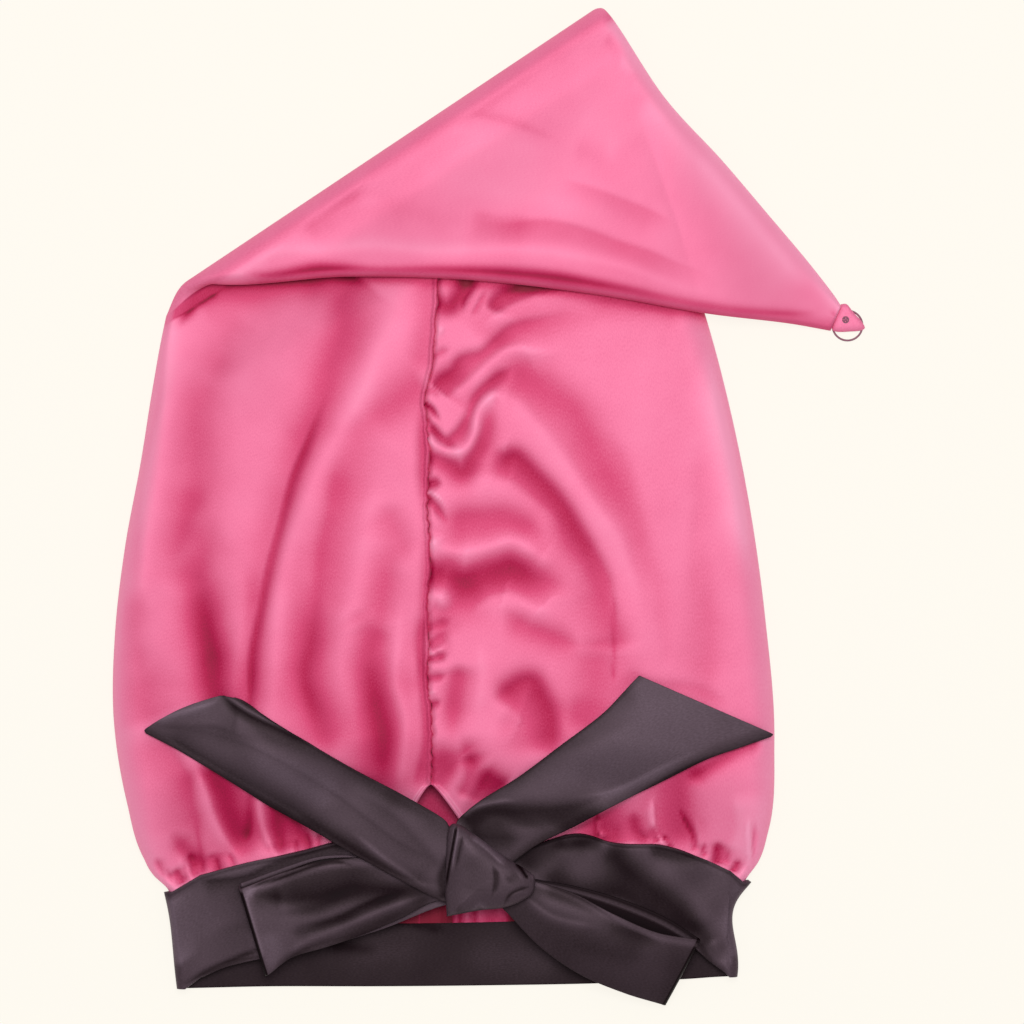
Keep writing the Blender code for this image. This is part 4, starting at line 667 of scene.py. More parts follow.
def mix(start, end, share):
    """Value between two others."""
    return start + (end - start) * share


def rolled(distance, width):
    """Quarter ellipse: 0 with a steep start at an edge, 1 from width on."""
    inner = 1.0 - np.clip(distance / width, 0.0, 1.0)
    return np.sqrt(1.0 - inner * inner)


def soft_max(first, second, blend):
    """Larger of two heights, with a soft change from one to the other."""
    return (first + second + np.sqrt((first - second) ** 2 + blend ** 2)) / 2


def curve_through(table, shares):
    """Smooth curve through a table's rows, whose first column is the share."""
    shares = np.atleast_1d(np.asarray(shares, float))
    keys, values = table[:, 0], table[:, 1:]
    slopes = np.gradient(values, keys, axis=0)
    row = np.clip(np.searchsorted(keys, shares) - 1, 0, len(keys) - 2)
    span = (keys[row + 1] - keys[row])[:, None]
    step = (shares - keys[row])[:, None] / span
    return ((1 + 2 * step) * (1 - step) ** 2 * values[row]
            + step * (1 - step) ** 2 * span * slopes[row]
            + step * step * (3 - 2 * step) * values[row + 1]
            + step * step * (step - 1) * span * slopes[row + 1])


def refined(table, steps):
    """Rows of a table with smooth rows added between them."""
    keyed = np.column_stack((np.arange(len(table), dtype=float), table))
    return curve_through(keyed, np.linspace(0, len(table) - 1, (len(table) - 1) * steps + 1))


def fold_field(folds, x, y):
    """How deep a table of folds presses into the cloth at each place, also used as its painted
    shade.
    """
    depth = np.zeros(x.shape)
    for deep, left, right, begin, end, *path in folds:
        line = refined(np.cumsum(np.reshape(path, (-1, 2)), axis=0), FOLD_STEPS)
        reach = FOLD_REACH * max(left, right)
        low, high = line.min(axis=0) - reach, line.max(axis=0) + reach
        near = np.nonzero((x > low[0]) & (x < high[0]) & (y > low[1]) & (y < high[1]))
        here_x, here_y = x[near], y[near]
        best = np.full(here_x.shape, 1e9)
        side = np.zeros(here_x.shape)
        along = np.zeros(here_x.shape)
        for index in range(len(line) - 1):
            start, run = line[index], line[index + 1] - line[index]
            off_x, off_y = here_x - start[0], here_y - start[1]
            share = np.clip((off_x * run[0] + off_y * run[1]) / (run @ run), 0, 1)
            gap_x, gap_y = off_x - run[0] * share, off_y - run[1] * share
            distance = np.hypot(gap_x, gap_y)
            closer = distance < best
            best = np.where(closer, distance, best)
            side = np.where(closer, run[0] * gap_y - run[1] * gap_x, side)
            along = np.where(closer, (index + share) / (len(line) - 1), along)
        fade = smooth(along / begin) * smooth((1 - along) / end)
        width = np.where(side > 0, left, right) * mix(FOLD_END_WIDTH, 1.0, fade)
        depth[near] += deep * fade * bell(best, width, FOLD_POWER)
    return depth


def ripple(x, y, size, seed):
    """Gentle unevenness of the cloth, about -1 to 1, without a visible pattern."""
    rng = np.random.RandomState(seed)
    total = np.zeros(np.shape(x))
    for _ in range(RIPPLE_WAVES):
        angle = rng.uniform(0, 2 * math.pi)
        scale = 2 * math.pi / (size * rng.uniform(0.7, 1.5))
        turn = rng.uniform(0, 2 * math.pi, 2)
        across, along = math.cos(angle), math.sin(angle)
        bend = 0.8 * np.sin(scale * 0.6 * (y * across - x * along) + turn[0])
        total = total + np.sin(scale * (x * across + y * along) + turn[1] + bend)
    return total * 2 / RIPPLE_WAVES


def ripples(table, x, y):
    """Sum of the ripples of a table."""
    return sum(height * ripple(x, y, size, seed) for height, size, seed in table)


def past_crease(x, y):
    """How far a place of the unfolded bag lies past the crease's axis."""
    return (x - AXIS_POINT[0]) * PAST[0] + (y - AXIS_POINT[1]) * PAST[1]


def flat_sections():
    """Sections of the whole bag before its top is folded, and its thickness."""
    rows = [(*row, FOLDED_BAG) for row in BODY_SECTIONS]
    for share, left_x, left_y, right_x, right_y, thickness in TOP_SECTIONS:
        opened = []
        for point in (np.array([left_x, left_y]), np.array([right_x, right_y])):
            opened.extend(point + PAST * (CREASE_LENGTH - 2 * past_crease(*point)))
        rows.append((1 + BEND_SHARE + TOP_SHARE * share, *opened, thickness))
    return np.array(rows)


SECTIONS = flat_sections()


def mouth_curve(across):
    """Shape of both mouth edges: 0 at the sides, 1 in the middle."""
    return 1.0 - np.abs(2.0 * np.clip(across, 0, 1) - 1.0) ** MOUTH_POWER


def side_edges(y):
    """Left and right edge of the bag's body at a height, still unfolded."""
    left = np.interp(y, SECTIONS[:, 2], SECTIONS[:, 1])
    right = np.interp(y, SECTIONS[:, 4], SECTIONS[:, 3])
    return left, right


def band_height(x):
    """Outer height of the front band over the floor."""
    left = np.interp(x, BAND_LEFT[::-1, 0], BAND_LEFT[::-1, 4])
    right = np.interp(x, BAND_RIGHT[:, 0], BAND_RIGHT[:, 4])
    return np.where(x < BOW_X, left, right)


def dome(x, y):
    """Height of the front without its side rolls and folds, and where it is."""
    left, right = side_edges(y)
    across = np.clip((x - left) / (right - left), 0.0, 1.0)
    mouth = (mix(BODY_SECTIONS[0, 2], BODY_SECTIONS[0, 4], across)
             + MOUTH_LIFT * mouth_curve(across))
    above = y - mouth
    base = band_height(x) - BAND_WALL - GAP - LOOSE
    full = mix(DOME_SIDE, DOME_MIDDLE, np.sin(np.pi * across) ** DOME_ROUND)
    height = mix(base, full, ramp(above, DOME_START, DOME_RISE) ** RISE_ROUND)
    inside = -past_crease(x, y)
    return mix(FOLDED_BAG, height, smooth(inside / CREASE_RISE)), above, inside


def roll_width(rise):
    """Width over which the cloth turns down at a side edge."""
    return np.maximum(ROLL_LEAST, ROLL_SHARE * rise)


def top_support(x, y):
    """Height that the folded top lies on: the bag's front, then the floor."""
    _, right = side_edges(y)
    height, _, inside = dome(np.minimum(x, right), y)
    ground = 1.0 - smooth((x - right) / TOP_FALL)
    play = 2 * (CREASE_RADIUS - FOLDED_BAG) - TOP_GAP
    clearance = TOP_GAP + play * (1 - smooth(inside / TOP_SETTLE))
    return (height + clearance) * ground


def fold_top(x, y, z, thickness):
    """Bend the flat bag over its crease and let the top lie on the front."""
    past = past_crease(x, y)
    angle = np.clip(past / CREASE_RADIUS, 0.0, math.pi)
    radius = CREASE_RADIUS - z
    offset = radius * np.sin(angle) - np.maximum(past - CREASE_LENGTH, 0.0)
    offset = np.where(past < 0, past, offset)
    folded_x = x + PAST[0] * (offset - past)
    folded_y = y + PAST[1] * (offset - past)
    height = np.where(past < 0, z, CREASE_RADIUS - radius * np.cos(angle))
    lift = top_support(folded_x, folded_y) + thickness - 2 * CREASE_RADIUS
    height = height + lift * smooth((angle - math.pi / 2) / (math.pi / 2))
    return folded_x, folded_y, height, past


def seam_at(share, left, right, lift):
    """Place of the centre-front seam across a row, found in a few rounds."""
    across = 0.5
    for _ in range(6):
        y = mix(left[1], right[1], across) + lift * mouth_curve(across)
        x = np.interp(y, SEAM_PATH[:, 0], SEAM_PATH[:, 1])
        across = (x - left[0]) / (right[0] - left[0])
    if share <= 1.0:
        return float(across)
    return float(mix(across, 0.5, ramp(share, 1, BEND_SHARE + TOP_SHARE)))


def spread(start, end, count, near, pull):
    """Steps from start to end, closer together near the end."""
    places = np.linspace(start, end, 400)
    weight = 1.0 + pull * np.exp(-(end - places) / near)
    total = np.concatenate(([0.0], np.cumsum((weight[1:] + weight[:-1]) / 2)))
    return np.interp(np.linspace(0, total[-1], count + 1)[1:], total, places)


def crown_row(share, counts):
    """Points round the bag at one height: front right, back, front left."""
    edge_count, front_count, back_count = counts
    left_x, left_y, right_x, right_y, thickness = curve_through(SECTIONS, share)[0]
    width = math.hypot(right_x - left_x, right_y - left_y)
    thin = float(ramp(share, THIN_START, 1 - THIN_START))
    tuck = (BAND_WALL + GAP) * (1 - float(ramp(share, *TUCK_SHARES)))
    lift = MOUTH_LIFT * max(0.0, 1.0 - share / MOUTH_LIFT_REACH) ** 2
    drop = MOUTH_DROP * max(0.0, 1.0 - share / MOUTH_DROP_REACH) ** 2
    seam = seam_at(share, (left_x, left_y), (right_x, right_y), lift)
    opened = max(0.0, 1.0 - share / SLIT_SHARE)
    ends = [part * width - side * opened ** power
            for part, side, power in zip((seam, 1 - seam), SLIT_SIDES, SLIT_ROUND)]
    topward = float(ramp(share, 1.0 + BEND_SHARE / 2, TOP_TURN_SHARE))
    top_rolls = np.array(TOP_ROLL) * min(1.0, width / TOP_NARROW)
    edge_steps = 1 - np.cos(np.linspace(0, math.pi / 2, edge_count + 1))
    fronts, backs = [], []
    for x, y, end, top_roll in ((left_x, left_y, ends[0], top_rolls[0]),
                                (right_x, right_y, ends[1], top_rolls[1])):
        side = mix(float(dome(x, y)[0]), thickness, thin)
        roll = float(roll_width((1 - EDGE_SHARE) * (side - tuck)))
        back_roll = mix(roll, top_roll, topward)
        fronts.append(np.concatenate((roll * edge_steps,
                                      spread(roll, end, front_count, *SEAM_CROWD))))
        backs.append(np.concatenate((back_roll * edge_steps[1:], spread(
            back_roll, width / 2, back_count, BACK_CROWD[0], BACK_CROWD[1] * (1 - topward)))))
    across = np.concatenate((1 - fronts[1][::-1] / width, 1 - backs[1] / width,
                             backs[0][::-1][1:] / width, fronts[0] / width))
    is_back = np.zeros(len(across), bool)
    is_back[len(fronts[1]):len(across) - len(fronts[0])] = True
    lower = across < 0.5
    x = mix(left_x, right_x, across)
    y = mix(left_y, right_y, across) + np.where(is_back, -drop, lift) * mouth_curve(across)

    from_edge = np.minimum(across, 1.0 - across) * width
    height = mix(dome(x, y)[0], thickness, thin)
    edge_share = mix(EDGE_SHARE, np.where(lower, *TOP_EDGE_SHARE), topward)
    edge = tuck + edge_share * (height - tuck)
    front = edge + (height - edge) * rolled(from_edge, roll_width(height - edge))
    back_roll = mix(roll_width(edge - tuck), np.where(lower, *top_rolls), topward)
    back = tuck + (edge - tuck) * (1 - rolled(from_edge, back_roll))
    return {"x": x, "y": y, "z": np.where(is_back, back, front), "back": is_back,
            "edge": from_edge, "seam": (across - seam) * width, "across": across,
            "thick": np.full(len(across), thickness), "share": np.full(len(across), share)}


def crown_block(shares, counts):
    """Rows of the bag as arrays, one line per height."""
    rows = [crown_row(share, counts) for share in shares]
    return {key: np.array([row[key] for row in rows]) for key in rows[0]}


def shape_front(block):
    """Press the front's folds, the seam and the slit's hem into the bag's body, and paint their
    light and shade into its colour.
    """
    x, y, share = block["x"], block["y"], block["share"]
    left = block["seam"] <= 0
    off = np.abs(block["seam"])
    _, above, inside = dome(x, y)
    calm = ramp(block["edge"], *CALM_EDGE)
    below_top = np.interp(x, TOP_SECTIONS[:, 1], TOP_SECTIONS[:, 2]) - y
    shade = calm * np.where(left, fold_field(LEFT_FOLDS, x, y), fold_field(RIGHT_FOLDS, x, y))
    depth = shade * BAG_PRESS
    free = (1 - smooth((2.0 - below_top) / 8.0)) * ramp(above, 1.0, 6.0)
    depth = np.where(depth < 0, depth * free, depth)
    depth = depth + ripples(FRONT_RIPPLES, x, y) * calm * smooth(above / 12.0)
    depth = depth * smooth(inside / CREASE_CALM)

    opened = np.clip(1 - share / SLIT_SHARE, 0, 1)
    closed = ramp(share, SLIT_SHARE, SEAM_CLOSE)
    fade = smooth(inside / SEAM_FADE)
    uneven = ripples(SEAM_RIPPLES, x, y)
    lip = (1 + 0.5 * uneven) * hump(off, *LIP) - hump(off, *LIP_DIP)
    dip = (LIP_DIP[0] + 0.5 * uneven) * bell(off, FAR_DIP[0] + FAR_DIP[1] * uneven)
    lap = (np.where(left, *LIP_LAP) * bell(off, LAP_WIDTH)
           + ripple(0 * x, y, *SEAM_RIPPLE) * hump(off, *SEAM_WAVER))
    hem = off - np.where(left, SLIT_SIDES[0] * opened ** SLIT_ROUND[0],
                         SLIT_SIDES[1] * opened ** SLIT_ROUND[1])
    hem_line = sum(bell(hem - place, HEM_LINE[1]) for place in HEM_LINES) * (opened > 0)
    hem_turn = hump(hem, *HEM_TURN) * (opened > 0)
    depth = depth + np.where(left, -lip, dip) * closed * fade + hem_turn - HEM_LINE[0] * hem_line
    block["x"] = np.where(block["back"], x, x + lap * closed * fade)
    block["z"] = np.where(block["back"], block["z"], np.maximum(block["z"] - depth, FRONT_LEAST))

    # Painted shade seen through the slit and behind its end, painted highlight on the side rims,
    # painted shadow
    # under the folded top, painted shade by the seam and painted highlight on the hem's stitched
    # ridges
    in_slit = SLIT_PAINTED_SHADE[0] * (1 - ramp(share, SLIT_SHARE, SLIT_PAINTED_SHADE[1]))
    behind = ramp(share, *BEHIND_START) * (1 - ramp(share, *BEHIND_END))
    in_slit = np.maximum(in_slit, BEHIND_PAINTED_SHADE[0] * behind * bell(off, BEHIND_PAINTED_SHADE[1], 4))
    rim = hump(block["edge"], *RIM_PAINTED_HIGHLIGHT) * (1 - ramp(y, *RIM_END))
    under_top = hump(np.maximum(below_top, 0.0), *UNDER_TOP_PAINTED_SHADOW)
    seam = np.where(left, *(hump(off, *painted_shading) for painted_shading in SEAM_PAINTED_SHADES)) * closed
    block["painted_shading"] = np.where(block["back"], in_slit,
                             under_top + rim + shade + seam + HEM_PAINTED_HIGHLIGHT * hem_line)


def shape_back(block):
    """Gathers of the back's mouth, which show under the bow, with their light and shade painted
    into the colour.
    """
    back, x = block["back"], block["x"]
    near = 1 - smooth(block["share"] / BACK_MOUTH_SHARE)
    wave = np.sin(x * 1.05 + 0.9 * np.sin(x * 0.31)) * 0.7 + 0.3 * np.sin(x * 2.3)
    block["z"] = block["z"] + np.where(back, (wave + 1) * BACK_GATHER * near, 0.0)
    painted_shading = BACK_PAINTED_SHADE + BACK_GATHER_PAINTED_LIGHT * wave
    for deep, start, run in BACK_END_PAINTED_SHADES:
        painted_shading = painted_shading + deep * ramp(x, start, run)
    block["painted_shading"] = block["painted_shading"] + np.where(back, painted_shading * near, 0.0)


def crown_points(block):
    """Fold the bag's top over, press its folds in, and paint their shade and its edges' light and
    shade.
    """
    edge, back, thickness = block["edge"], block["back"], block["thick"]
    x, y, z, past = fold_top(block["x"], block["y"], block["z"], thickness)
    lying = smooth((past - CREASE_LENGTH) / TOP_FOLD_START)
    calm = ramp(edge, *TOP_CALM)
    top = back & (past > 0)
    shade = fold_field(TOP_FOLDS, x, y) * calm
    depth = shade * TOP_PRESS + ripples(TOP_RIPPLES, x, y) * calm
    depth = np.where(top, depth * lying * ramp(thickness, *TOP_THIN), 0.0)
    # Painted shade on the inside, under the folded top
    if "painted_shading" not in block:
        block["painted_shading"] = np.where(back, 0.0, INSIDE_PAINTED_SHADE * ramp(edge, *INSIDE_START))
    # Painted shade at the turned lower edge, painted highlight at the right edge, painted shade by
    # the crease
    lower_edge = TURNED_PAINTED_SHADE * (1 - smooth(edge / TOP_ROLL[0])) * ramp(x, *TURNED_START)
    turned = np.where(block["across"] < 0.5, lower_edge, hump(edge, *FAR_EDGE_PAINTED_HIGHLIGHT))
    shoulder = hump(CREASE_RADIUS - past_crease(x, y), *SHOULDER) * top
    block["painted_shading"] = block["painted_shading"] + np.where(top, (shade + turned) * lying, 0.0) + shoulder
    return np.stack((x, y, z - depth), axis=-1)


# ---------------------------------------------------------------- meshes

def add_object(name, data):
    """Object of the scene that holds a mesh, a light or a camera."""
    made = bpy.data.objects.new(name, data)
    bpy.context.scene.collection.objects.link(made)
    return made


def add_mesh(name, points, faces, finish, painted_shading, uv):
    """Smooth mesh piece from points in millimetres, with its painted light and shade and its
    weave's place.
    """
    mesh = bpy.data.meshes.new(name)
    mesh.from_pydata((np.asarray(points, float) * METRE).tolist(), [], faces)
    mesh.materials.append(finish)
    mesh.shade_smooth()
    values = np.asarray(painted_shading, np.float32).ravel()
    mesh.attributes.new("painted_shading", "FLOAT", "POINT").data.foreach_set("value", values)
    corners = np.empty(len(mesh.loops), np.int32)
    mesh.loops.foreach_get("vertex_index", corners)
    layer = mesh.uv_layers.new(name="cloth")
    layer.data.foreach_set("uv", np.asarray(uv, np.float32)[corners].ravel())
    return add_object(name, mesh)


def grid_faces(rows, columns, start=0, closed=False):
    """Quads over a grid of points, row by row."""
    faces = []
    for row in range(rows - 1):
        low, high = start + row * columns, start + (row + 1) * columns
        for column in range(columns if closed else columns - 1):
            after = (column + 1) % columns
            faces.append((low + column, low + after, high + after, high + column))
    return faces


def zipped(low, low_places, high, high_places):
    """Triangles between two rows of points that differ in number."""
    faces = []
    a, b = 0, 0
    while a < len(low) - 1 or b < len(high) - 1:
        step_low = b == len(high) - 1 or (
            a < len(low) - 1 and low_places[a + 1] <= high_places[b + 1])
        if step_low:
            faces.append((low[a], low[a + 1], high[b]))
            a += 1
        else:
            faces.append((low[a], high[b + 1], high[b]))
            b += 1
    return faces


def ring_places(block, row):
    """Place of each point of a row round the bag, 0 to 4, seam to seam."""
    across, back = block["across"][row], block["back"][row]
    front = np.where(np.arange(len(across)) < len(across) / 2,
                     (across - across[0]) / (1 - across[0]), 3 + across / across[-1])
    return np.where(back, 1 + 2 * (1 - across), front)


def make_crown(finish):
    """The bag as one cloth: dense over the front, and over the top of its fold."""
    slit_shares = np.linspace(0, SLIT_SHARE, 42)
    body_shares = np.concatenate((slit_shares, np.linspace(SLIT_SHARE, 0.985, 206)[1:]))
    top_shares = np.concatenate((np.linspace(0.99, 1 + BEND_SHARE, 24),
                                 1 + BEND_SHARE + TOP_SHARE * np.linspace(0, 1, 108)[1:]))
    body = crown_block(body_shares, (8, 100, 28))
    top = crown_block(top_shares, (10, 16, 52))
    shape_front(body)
    shape_back(body)
    parts = [crown_points(body), crown_points(top)]
    rows, columns, _ = parts[0].shape
    top_rows, top_columns, _ = parts[1].shape
    points = np.concatenate([part.reshape(-1, 3) for part in parts])
    painted_shading = np.concatenate((body["painted_shading"].ravel(), top["painted_shading"].ravel()))
    uv = np.concatenate([np.column_stack((block["across"].ravel() * BAG_CLOTH[0],
                                          block["share"].ravel() * BAG_CLOTH[1])) * METRE
                         for block in (body, top)])
    start = rows * columns
    faces = grid_faces(rows, columns) + grid_faces(top_rows, top_columns, start)
    faces += zipped(np.arange(start - columns, start), ring_places(body, -1),
                    np.arange(start, start + top_columns), ring_places(top, 0))
    joined = {}
    for row in range(len(slit_shares) - 1, rows):
        joined[row * columns + columns - 1] = row * columns
    for row in range(top_rows):
        first = start + row * top_columns
        joined[first + top_columns - 1] = first
        points[first] = (points[first] + points[first + top_columns - 1]) / 2
    faces = [tuple(joined.get(int(index), int(index)) for index in face) for face in faces]
    tip = len(points)
    last = start + (top_rows - 1) * top_columns
    points = np.vstack((points, points[last:last + top_columns].mean(axis=0)))
    painted_shading, uv = np.append(painted_shading, 0.0), np.vstack((uv, uv[last]))
    for column in range(top_columns - 1):
        ahead = joined.get(last + column + 1, last + column + 1)
        faces.append((last + column, ahead, tip))
    used = np.unique(np.concatenate([np.array(face) for face in faces]))
    renumber = {int(index): place for place, index in enumerate(used)}
    faces = [tuple(renumber[index] for index in face) for face in faces]
    return add_mesh("bonnet_bag", points[used], faces, finish, painted_shading[used], uv[used])


def cloth_strip(name, points, finish, painted_shading, across, flip, wall, offset, round_edge):
    """Piece from rows of points over a strip of cloth, with its thickness and edges."""
    faces = grid_faces(*points.shape[:2])
    if flip:
        faces = [face[::-1] for face in faces]
    middle = points[:, points.shape[1] // 2]
    along = np.cumsum(np.append(0.0, np.linalg.norm(np.diff(middle, axis=0), axis=1)))
    uv = np.stack(np.broadcast_arrays(across[None, :], along[:, None]), axis=-1) * METRE
    piece = add_mesh(name, points.reshape(-1, 3), faces, finish, painted_shading, uv.reshape(-1, 2))
    solid = piece.modifiers.new("Wall", "SOLIDIFY")
    solid.thickness = wall * METRE
    solid.offset = offset
    bevel = piece.modifiers.new("Edge", "BEVEL")
    bevel.width = round_edge * METRE
    bevel.segments = 2
    bevel.limit_method = "ANGLE"
    bevel.angle_limit = math.radians(50)
    return piece


def bow_strip(name, points, finish, folds, wall, offset, flip, pressed=1.0, zones=0.0):
    """A strip of the bow, with its own folds pressed in, and their shade and other painted light
    and shade in its colour.
    """
    points = np.array(points)
    shade = fold_field(folds, points[..., 0], points[..., 1]) * pressed
    points[..., 2] -= np.tanh(shade * BOW_PRESS)
    across = np.linspace(0, BOW_CLOTH, points.shape[1])
    return cloth_strip(name, points, finish, shade + zones, across, flip, wall, offset,
                       wall * EDGE_ROUND)


def band_fold(corners, side, steps):
    """Half turn of the band at one side, from its front to its back."""
    top_x, top_y, bottom_x, bottom_y, bow = corners
    rows = []
    for angle in np.radians(np.linspace(84, -84, steps)):
        inward = side * BAND_TURN * (1 - math.cos(angle))
        height = BAND_TURN * (1 + math.sin(angle))
        rows.append((top_x + inward, top_y, bottom_x + inward, bottom_y, height, side * bow))
    return rows


def make_band(finish):
    """The doubled band, from the knot round the back to the knot."""
    rows = [(*row, 0.0) for row in refined(BAND_LEFT, 10)]
    rows += band_fold(FOLD_LEFT, 1, 16)
    rows += [(*row, 0.0, 0.0) for row in refined(BAND_BACK, 8)]
    rows += band_fold(FOLD_RIGHT, -1, 16)[::-1]
    rows += [(*row, 0.0) for row in refined(BAND_RIGHT, 10)[::-1]]
    steps = np.linspace(0, 1, 40)
    points = []
    for top_x, top_y, bottom_x, bottom_y, height, bow in rows:
        x = mix(top_x, bottom_x, steps) + bow * np.sin(np.pi * steps ** FOLD_SKEW) ** 2
        y = mix(top_y, bottom_y, steps)
        points.append(np.column_stack((x, y, np.full(len(steps), height))))
    points = np.array(points)
    x, y = points[..., 0], points[..., 1]
    front = points[..., 2] > BAND_TURN
    shade = fold_field(BAND_FOLDS, x, y)
    depth = np.tanh(shade * BOW_PRESS) + ripples(BAND_RIPPLES, x, y)
    edge = steps * BAND_CLOTH
    seam = hump(edge, *BAND_SEAM)
    points[..., 2] -= np.where(front, depth + seam, -BAND_SEAM_BACK * seam)
    # Painted shade of the folds and painted shadow under the top edge on the front; painted shade
    # on the back half
    painted_shading = np.where(front, shade + hump(edge, *BAND_SEAM_PAINTED_SHADOW),
                    fold_field(BACK_FOLDS, x, y) + BAND_BACK_PAINTED_SHADE)
    return cloth_strip("bonnet_band", points, finish, painted_shading, edge, True, BAND_WALL, -1.0, BAND_EDGE)


def tail_points(table):
    """Outer face of a tie end, draped over the bag's front."""
    rows = refined(table, 14)
    steps = np.linspace(0, 1, TAIL_COLUMNS)
    points = []
    tip = rows[-1, 2:4]
    inward = (rows[-1, :2] + 2 * rows[-8, 2:4]) / 3 - tip
    inward /= np.linalg.norm(inward)
    for upper_x, upper_y, lower_x, lower_y, upper_z, lower_z, bow in rows:
        bulge = bow * np.sin(np.pi * steps) / math.hypot(lower_x - upper_x, lower_y - upper_y)
        x = mix(upper_x, lower_x, steps) + (lower_y - upper_y) * bulge
        y = mix(upper_y, lower_y, steps) - (lower_x - upper_x) * bulge
        pull = np.maximum(TIP_BLUNT - np.hypot(x - tip[0], y - tip[1]), 0.0) * 0.6
        x, y = x + inward[0] * pull, y + inward[1] * pull
        cloth = dome(x, y)[0] + GAP + LOOSE / 2
        seat = soft_max(mix(upper_z, lower_z, steps), cloth, TAIL_BLEND) - TAIL_SINK
        crown = TAIL_CROWN[0] * np.sin(np.pi * steps) ** TAIL_CROWN[1]
        points.append(np.column_stack((x, y, seat + TAIL_WALL + crown)))
    return points


def loop_leaf(row, steps, turn):
    """Points across one leaf of a loop; turn is 0 on the lower leaf, 1 above."""
    upper_x, upper_y, lower_x, lower_y, upper_z, lower_z, leaf_gap, drop = row
    width = math.hypot(lower_x - upper_x, lower_y - upper_y)
    slid = steps + (1 - steps) * turn * drop / width
    z = mix(upper_z, lower_z, np.abs(slid) ** LOOP_DROOP) + LOOP_WALL / 2
    puff = 1.0 + LOOP_PUFF * np.sin(np.pi * steps) * turn
    return np.column_stack((mix(upper_x, lower_x, slid), mix(upper_y, lower_y, slid),
                            z + (LOOP_WALL + LEAF_GAP + leaf_gap) * turn * puff))


def make_loop(name, table, finish, flip, shade, mouth):
    """A bow loop: a lower leaf out from the knot, a turn, an upper leaf back."""
    rows = refined(table, 14)
    steps = np.linspace(0, 1, 36)
    leaves = [loop_leaf(row, steps, 0.0) for row in rows]
    end, before = rows[-1], rows[-2]
    forward = end[:2] - before[:2] + end[2:4] - before[2:4]
    forward = forward / np.linalg.norm(forward) * end[6] / 2
    for angle in np.radians(np.linspace(-72, 72, 9)):
        leaf = loop_leaf(end, steps, 0.5 + 0.5 * math.sin(angle))
        leaf[:, :2] += forward * math.cos(angle)
        leaves.append(leaf)
    upper = [loop_leaf(row, steps, 1.0) for row in rows[::-1]]
    is_upper = (np.arange(len(leaves) + len(upper)) >= len(leaves))[:, None]
    # Painted shade in the loop's mouth with a painted highlight line, and a painted highlight
    # along the upper leaf's edge
    light, less, width = MOUTH_PAINTED_HIGHLIGHT
    inside = MOUTH_PAINTED_SHADE - hump(steps, light - less * mouth, width, mouth)
    outside = shade + hump(steps, *LOOP_EDGE_PAINTED_HIGHLIGHT)
    return bow_strip(name, leaves + upper, finish, LOOP_FOLDS, LOOP_WALL, 0.0, flip,
                     is_upper, np.where(is_upper, outside, inside))


def pillow(name, outline, seat, height, finish, folds, rounding, steps):
    """A closed soft body over an outline, domed from its rim to its middle."""
    corners = refined(np.vstack((outline, outline[:1])), steps[1])[:-1]
    middle = outline.mean(axis=0)
    rings = list(PILLOW_RIM)
    for share in np.linspace(0, 1, steps[0])[1:]:
        rise = 0.25 + 0.75 * (1 - (1 - share) ** rounding) ** 0.5
        rings.append((1 - share * 0.97, rise))
    points = np.array([np.column_stack((mix(middle, corners, share),
                                        np.full(len(corners), seat + height * rise)))
                       for share, rise in rings])
    # The folds are pressed in, and their shade is painted into the colour
    shade = fold_field(folds, points[..., 0], points[..., 1])
    points[len(PILLOW_RIM):, :, 2] -= shade[len(PILLOW_RIM):] * BOW_PRESS
    count = len(corners)
    faces = grid_faces(len(rings), count, closed=True)
    last = (len(rings) - 1) * count
    faces += [tuple(range(last, last + count)), tuple(range(count))[::-1]]
    ahead = np.roll(corners, -1, axis=0)
    if np.sum(corners[:, 0] * ahead[:, 1] - ahead[:, 0] * corners[:, 1]) < 0:
        faces = [face[::-1] for face in faces]
    flat = points.reshape(-1, 3)
    return add_mesh(name, flat, faces, finish, shade, flat[:, :2] * METRE)


def threads(name, lines, radius, finish, closed=False, sides=10):
    """Round threads along lines of points, as one piece."""
    points, faces = [], []
    for line in lines:
        count, start = len(line), len(points) * sides
        ahead = np.roll(line, -1, axis=0) - np.roll(line, 1, axis=0)
        if not closed:
            ahead[0], ahead[-1] = line[1] - line[0], line[-1] - line[-2]
        ahead /= np.linalg.norm(ahead, axis=1)[:, None]
        side = np.cross(ahead, [0.0, 0.0, 1.0])
        side /= np.linalg.norm(side, axis=1)[:, None]
        up = np.cross(side, ahead)
        turns = np.linspace(0, 2 * math.pi, sides, endpoint=False)[None, :, None]
        points.extend(line[:, None] + radius * (side[:, None] * np.cos(turns)
                                                + up[:, None] * np.sin(turns)))
        faces += [face[::-1] for face in grid_faces(count, sides, start, closed=True)]
        last = start + (count - 1) * sides
        if closed:
            faces += [(last + k, start + k, start + (k + 1) % sides, last + (k + 1) % sides)
                      for k in range(sides)]
        else:
            faces += [tuple(range(start, start + sides)),
                      tuple(range(last + sides - 1, last - 1, -1))]
    flat = np.concatenate(points)
    return add_mesh(name, flat, faces, finish, np.zeros(len(flat)), flat[:, :2] * METRE)


def loop_line():
    """Line of the hanging loop."""
    turns = np.linspace(0, 2 * math.pi, 72, endpoint=False)
    return np.column_stack((LOOP_CENTRE[0] + LOOP_RADIUS * np.cos(turns),
                            LOOP_CENTRE[1] + LOOP_RADIUS * np.sin(turns),
                            np.full(len(turns), LOOP_WIRE + 0.1)))


